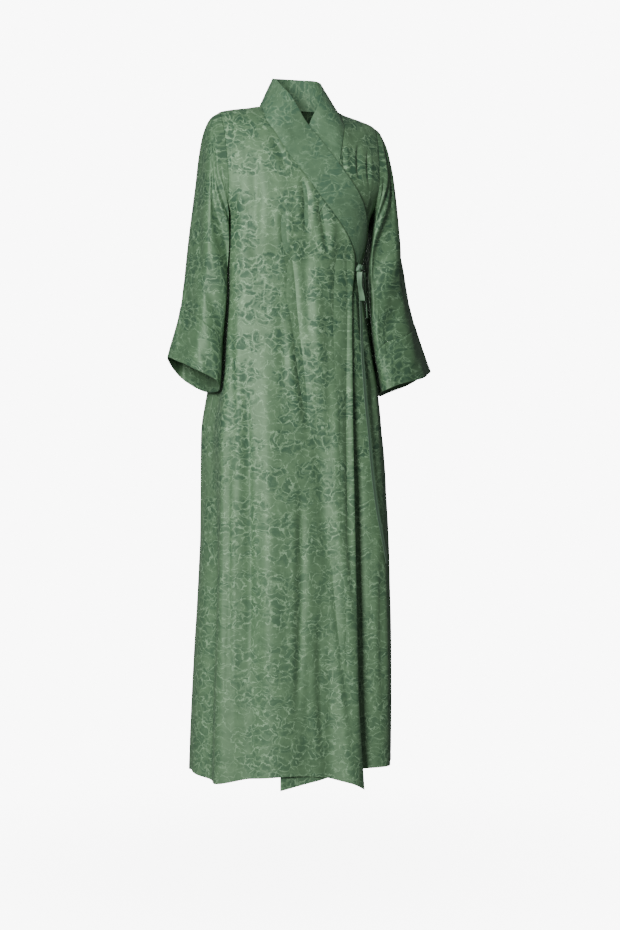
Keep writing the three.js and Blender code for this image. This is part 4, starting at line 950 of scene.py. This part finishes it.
# The seam allowance at the armhole lies inside the panels: how far under them, and how wide
ALLOWANCE_UNDER = 1.9
ALLOWANCE_WIDE = 4
for side, word, armhole, table in (
    (-1, "right", ARMHOLE_RIGHT, RIGHT_SLEEVE),
    (1, "left", ARMHOLE_LEFT, LEFT_SLEEVE),
):
    share = np.concatenate(
        [[0.0001, 0.003, 0.006, 0.01, 0.016], np.linspace(0.024, 0.79, 96), [0.794, 0.7975, 0.79995]]
    )
    to_seam = np.minimum(share, CUFF_FROM - share) * SLEEVE_LENGTH
    points = sleeve_points(table, armhole, share, ROUND, seam_roll(to_seam)[:, None], 51 + side)
    under = points[0] - ALLOWANCE_UNDER * outward_normals(points, side > 0, wrap=True)[0]
    inner_edge = under - [side * ALLOWANCE_WIDE, 0, 0]
    points = np.concatenate([inner_edge[None], under[None], points])
    axis = np.array([side * 0.16, 0, -0.987])
    v = points @ axis
    uv = np.stack([np.broadcast_to(ROUND * DEGREE_WIDE, v.shape), -v], -1)
    sleeve = grid_mesh(f"sleeve_{word}_tube", points, uv, flip=side > 0, wrap=True)
    thicken(sleeve, CLOTH)
    wear(sleeve, sleeve_cloth_painted_shade, f"sleeve_{word}")

    # Cuff
    # The end of each sleeve is finished by a deep turned band: cloth over interfacing, folded
    # at the wrist and faced with itself inside, joined to the sleeve by a plain seam.
    radius = CUFF_CLOTH / 2
    share = np.concatenate([[0.80005, 0.8025, 0.806], np.linspace(0.812, 0.99, 34), [0.995, 1.0]])
    to_seam = (share - CUFF_FROM) * SLEEVE_LENGTH
    proud = radius + seam_roll(to_seam, 1.6)[:, None]
    outer = sleeve_points(table, armhole, share, ROUND, proud, 51 + side)
    normal = outward_normals(outer, side > 0, wrap=True)
    rolled = []
    ending = unit(outer[-1] - outer[-2])
    for turn in CUFF_TURNS:
        forward, inward = radius * math.sin(turn), radius * (1 - math.cos(turn))
        rolled.append(outer[-1] + ending * forward - normal[-1] * inward)
    inner = (outer - normal * CUFF_CLOTH)[::-1]
    points = np.concatenate([outer, np.stack(rolled), inner])
    v = np.concatenate([share, CUFF_ROLL, 2.01 - share[::-1]]) * -SLEEVE_LENGTH
    uv = np.stack(np.broadcast_arrays(ROUND * DEGREE_WIDE, v[:, None]), -1)
    cuff = grid_mesh(f"cuff_{word}_band", points, uv, flip=side > 0, wrap=True)
    # The cuff takes the sleeves' darker copy of the jacquard, with its painted shade.
    wear(cuff, sleeve_cloth_painted_shade, f"cuff_{word}")

# Tie
# A narrow flat tie of the same satin, turned and pressed double. It comes round from the left
# side seam and is knotted at the left waist, with one bow loop, a short tail and a long tail.

LONG_TAIL = (
    (104, -357, 8), (105, -380, 7), (106, -415, 6.5), (106, -460, 6.5), (106, -520, 7),
    (108, -580, 8), (112, -635, 8), (118, -690, 8), (122, -745, 8), (127, -795, 8),
    (135, -848, 7), (148, -910, 6), (160, -962, 5),
)
SHORT_TAIL = ((112, -352, 12), (115, -372, 11), (118, -396, 10), (121, -424, 9), (124, -447, 8))
# The tails twist as they hang: share of the length, and degrees that the far edge turns inwards
TAIL_TWIST = ((0, 4), (0.2, 13), (0.6, 14), (1, 4))
SIDE_RUN = ((112, -341, 6), (119, -340, 5), (125, -339, 4), (130, -338, 3.5), (133.5, -338, 3))
TIE_WIDTH = 11
TIE_CLOTH = 1.6
KNOT_X, KNOT_Z = 98, -343
KNOT_RADII = 5.6, 5, 7.4  # sideways, forwards and up
KNOT_LEAN = 1.8
STRIP_ROUND = 28  # points round a strip
STRIP_HOLLOW = 0.8


def plain_satin(name, low, high, roughness, sheen):
    """Polyester satin on the bias, turned and pressed: bright, with fine streaks along it."""
    material = bpy.data.materials.new(name)
    material.use_nodes = True
    tree = material.node_tree
    shader = tree.nodes["Principled BSDF"]
    place = add(tree, "UVMap", {"uv_map": "cloth"})
    stretched = add(tree, "VectorMath", {**TIMES, 1: (1000 / 0.9, 1000 / 22, 1)}, {0: place})
    streak = add(tree, "TexNoise", {**FLAT_NOISE, "Scale": 1, "Detail": 2}, {"Vector": stretched})
    colour = add(tree, "Mix", {"data_type": "RGBA", 6: srgb(low), 7: srgb(high)}, {0: streak})
    tree.links.new(colour.outputs[2], shader.inputs["Base Color"])
    rough = add(
        tree, "MapRange", {"To Min": roughness - 0.05, "To Max": roughness + 0.08}, {"Value": streak}
    )
    tree.links.new(rough.outputs[0], shader.inputs["Roughness"])
    bump = add(tree, "Bump", {"Strength": 0.3, "Distance": 0.0002}, {"Height": streak})
    tree.links.new(bump.outputs[0], shader.inputs["Normal"])
    shader.inputs["Sheen Weight"].default_value = sheen
    shader.inputs["Sheen Roughness"].default_value = 0.35
    shader.inputs["Sheen Tint"].default_value = srgb("#d4ead2")
    return material


tie_cloth = plain_satin("satin, turned and pressed, tie", "#4c6953", "#66866b", 0.32, 0.2)


def spline(values, count):
    """Evenly spaced points on a smooth curve through the given ones."""
    values = np.array(values, float)
    along = distances(values)
    at = np.linspace(0, along[-1], count)
    return np.stack(
        [curve(list(zip(along, values[:, k])))(at) for k in range(values.shape[1])], -1
    )


def strip_mesh(name, centres, across, width, thickness):
    """A flat tube of cloth along its centres, with rolled edges and a slightly hollow back."""
    across = unit(across)
    out = unit(np.cross(across, unit(np.gradient(centres, axis=0))))
    turn = np.linspace(0, 2 * np.pi, STRIP_ROUND, endpoint=False)
    flat = np.sign(np.cos(turn)) * np.abs(np.cos(turn)) ** 0.55 * width / 2
    thick = np.sign(np.sin(turn)) * np.abs(np.sin(turn)) ** 0.7 * thickness / 2
    thick = thick - STRIP_HOLLOW * (flat / (width / 2)) ** 2 + STRIP_HOLLOW * 0.4
    points = centres[:, None] + across[:, None] * flat[:, None] + out[:, None] * thick[:, None]
    along = distances(centres)
    around = np.arange(STRIP_ROUND) * (2 * width / STRIP_ROUND)
    uv = np.stack(np.broadcast_arrays(around[None], along[:, None]), -1)
    piece = grid_mesh(name, points, uv, wrap=True)
    last = (len(centres) - 1) * STRIP_ROUND
    mesh = piece.data
    faces = [list(range(STRIP_ROUND)), list(range(last + STRIP_ROUND - 1, last - 1, -1))]
    vertices = [v.co[:] for v in mesh.vertices]
    quads = [list(p.vertices) for p in mesh.polygons]
    values = np.zeros(len(mesh.loops) * 2)
    mesh.uv_layers[0].data.foreach_get("uv", values)
    mesh.clear_geometry()
    mesh.from_pydata(vertices, [], quads + faces)
    layer = mesh.uv_layers.get("cloth") or mesh.uv_layers.new(name="cloth")
    ends_uv = np.concatenate([uv[0], uv[-1][::-1]]).ravel() * MM
    layer.data.foreach_set("uv", np.concatenate([values, ends_uv]))
    mesh.shade_smooth()
    return piece


def surface_across(x, z):
    return unit(on_front(x + 4, z) - on_front(x - 4, z))


for name, node, table, count in (
    ("tie_long_tail", "tie_tail_long", LONG_TAIL, 90),
    ("tie_short_tail", "tie_tail_short", SHORT_TAIL, 30),
):
    way = spline(table, count)
    centres = on_front(way[:, 0], way[:, 1], way[:, 2])
    level = surface_across(way[:, 0], way[:, 1])
    outward = unit(centres - on_front(way[:, 0], way[:, 1]))
    twist = np.radians(curve(TAIL_TWIST)(np.linspace(0, 1, count)))[:, None]
    across = np.cos(twist) * level - np.sin(twist) * outward
    tail = strip_mesh(name, centres, across, TIE_WIDTH, TIE_CLOTH)
    wear(tail, tie_cloth, node)

way = spline(SIDE_RUN, 16)
upward = np.array([0.0, 0.0, 1.0])
run = strip_mesh(
    "tie_run_to_side",
    on_front(way[:, 0], way[:, 1], way[:, 2]),
    np.broadcast_to(upward, (16, 3)),
    TIE_WIDTH,
    TIE_CLOTH,
)
wear(run, tie_cloth, "tie_side_run")

# The bow's loop: how far sideways, down and out, and how far its face is turned to the front
BOW_LOOP = (
    (4, 0, 0, 0.2), (1, 8, 1.5, 0.42), (-0.5, 19, 2.5, 0.72), (1.5, 31, 2.5, 0.85),
    (6, 43, 2, 0.55), (11, 53, 1, 0.24), (15, 59, -1, 0.12), (16.5, 56, -3, 0.1),
    (16, 47, -4, 0.12), (13.5, 34, -4, 0.16), (11.5, 20, -4, 0.2), (9.5, 9, -3, 0.24),
    (8, 1, -1.5, 0.3),
)
bow_top = on_front(KNOT_X - 8, KNOT_Z - 10, 17.0)
bow_out = unit(on_front(KNOT_X, KNOT_Z, 10.0) - on_front(KNOT_X, KNOT_Z))
bow_side = surface_across(KNOT_X, KNOT_Z)
way = spline(BOW_LOOP, 90)
bow_centres = bow_top + way[:, :1] * bow_side - way[:, 1:2] * upward + way[:, 2:3] * bow_out
bow_turn = np.radians(90 * way[:, 3:])
bow_across = np.cos(bow_turn) * bow_out + np.sin(bow_turn) * bow_side
# The bow's cloth is the tie's satin made lighter all over: a painted highlight for the light its loop
# catches.
bow_cloth_painted_highlight = plain_satin("satin, turned and pressed, bow", "#557559", "#7c9d80", 0.3, 0.2)
bow = strip_mesh("tie_bow_loop", bow_centres, bow_across, TIE_WIDTH, TIE_CLOTH)
wear(bow, bow_cloth_painted_highlight, "tie_bow")

# The knot itself: the tie wrapped over itself and pulled tight, so its faces crease and bulge
knot_at = on_front(KNOT_X - 4, KNOT_Z - 2, 14.0)
tilt = np.linspace(0.04, np.pi - 0.04, 44)
tilt, spin = np.meshgrid(tilt, np.arange(72) * np.pi / 36, indexing="ij")
wraps = 0.12 * np.cos(3 * tilt + 1.6 * np.sin(spin)) + 0.12 * np.sin(2 * spin + 3 * tilt)
pinch = 0.05 * np.cos(7 * spin + 4 * tilt) * np.sin(tilt)
reach = 1 + wraps + pinch - 0.05
knot_points = knot_at + np.stack(
    [
        KNOT_RADII[0] * reach * np.sin(tilt) * np.cos(spin) + KNOT_LEAN * np.cos(tilt),
        KNOT_RADII[1] * reach * np.sin(tilt) * np.sin(spin),
        KNOT_RADII[2] * reach * np.cos(tilt),
    ],
    -1,
)
knot_uv = np.stack([spin * 8, tilt * 8], -1)
knot = grid_mesh("tie_knot_wrap", knot_points, knot_uv, wrap=True)
wear(knot, tie_cloth, "tie_knot")

# Floor, light and camera
# A plain pale studio floor, a large soft light to the camera's left with a weaker one behind, and
# the photograph's view. Sizes here are in metres.

FLOOR_RADIUS = 3
FLOOR_Z = -1.6
FLOOR_CORNERS = 95
BACKDROP = 9  # as bright as the camera sees it
FILL = 0.17  # and as bright as it lights the cloth
floor_mesh = bpy.data.meshes.new("studio_floor")
ways = np.linspace(0, 2 * math.pi, FLOOR_CORNERS + 1)[:-1]
rim = [(FLOOR_RADIUS * math.cos(way), FLOOR_RADIUS * math.sin(way), FLOOR_Z) for way in ways]
floor_mesh.from_pydata(rim, [], [list(range(FLOOR_CORNERS))])
floor = bpy.data.objects.new("studio_floor", floor_mesh)
bpy.context.scene.collection.objects.link(floor)
matte = bpy.data.materials.new("matt white floor paint, fading out")
matte.use_nodes = True
paint = matte.node_tree.nodes["Principled BSDF"]
paint.inputs["Base Color"].default_value = srgb("#f4f4f2")
paint.inputs["Roughness"].default_value = 0.9
floor_place = add(matte.node_tree, "TexCoord")
floor_reach = add(
    matte.node_tree, "VectorMath", {"operation": "LENGTH"}, {0: floor_place.outputs["Object"]}
)
fade = add(
    matte.node_tree, "MapRange", {**SOFT_STEP, "From Min": 2.0, "From Max": 0.4},
    {"Value": floor_reach.outputs["Value"]},
)
matte.node_tree.links.new(fade.outputs[0], paint.inputs["Alpha"])
floor_mesh.materials.append(matte)
floor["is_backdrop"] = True

# The backdrop is seen white, and lights the cloth less than it looks
world = bpy.data.worlds.new("studio")
bpy.context.scene.world = world
world.use_nodes = True
fill = world.node_tree.nodes["Background"]
fill.inputs["Color"].default_value = srgb("#eef2f4")
fill.inputs["Strength"].default_value = FILL
seen = add(world.node_tree, "Background", {"Color": srgb("#ffffff"), "Strength": BACKDROP})
ray = add(world.node_tree, "LightPath")
both = add(world.node_tree, "MixShader", None, {0: ray.outputs["Is Camera Ray"], 1: fill, 2: seen})
world.node_tree.links.new(both.outputs[0], world.node_tree.nodes["World Output"].inputs[0])


def soft_light(name, place, target, size, power):
    lamp = bpy.data.lights.new(name, "AREA")
    lamp.shape = "RECTANGLE"
    lamp.size, lamp.size_y = size
    lamp.energy = power
    holder = bpy.data.objects.new(name, lamp)
    holder.location = place
    aim = Vector(target) - Vector(place)
    holder.rotation_euler = aim.to_track_quat("-Z", "Y").to_euler()
    bpy.context.scene.collection.objects.link(holder)
    return holder


soft_light("key", (-2.35, -2.95, 0.6), (0, 0, -0.65), (1.0, 2.0), 222)
# A weaker one behind it shows the back, and leaves no streak of light along the cloth's edges
back_fill = soft_light("back fill", (0.4, 3.6, 0.3), (0, 0, -0.65), (2.0, 2.0), 90)
back_fill.visible_glossy = False

AZIMUTH = math.radians(-17)
DISTANCE = 4.0
SENSOR = 36
LENS = SENSOR * 1887 / 930  # a focal length of 1887 pixels, in a picture of 930 rows
RIGHT = Vector((math.cos(AZIMUTH), math.sin(AZIMUTH), 0))
TOWARDS = Vector((math.sin(AZIMUTH), -math.cos(AZIMUTH), 0))
EYE = 0.0276 * RIGHT + DISTANCE * TOWARDS + Vector((0, 0, -0.755))
lens = bpy.data.cameras.new("camera")
lens.sensor_fit = "VERTICAL"
lens.sensor_height = SENSOR
lens.lens = LENS
camera = bpy.data.objects.new("camera", lens)
camera.location = EYE
camera.rotation_euler = (-TOWARDS).to_track_quat("-Z", "Y").to_euler()
bpy.context.scene.collection.objects.link(camera)
bpy.context.scene.camera = camera

({name: [list(corner) for corner in box] for name, box in
           (("cad", cad_box), ("visual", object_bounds()))})
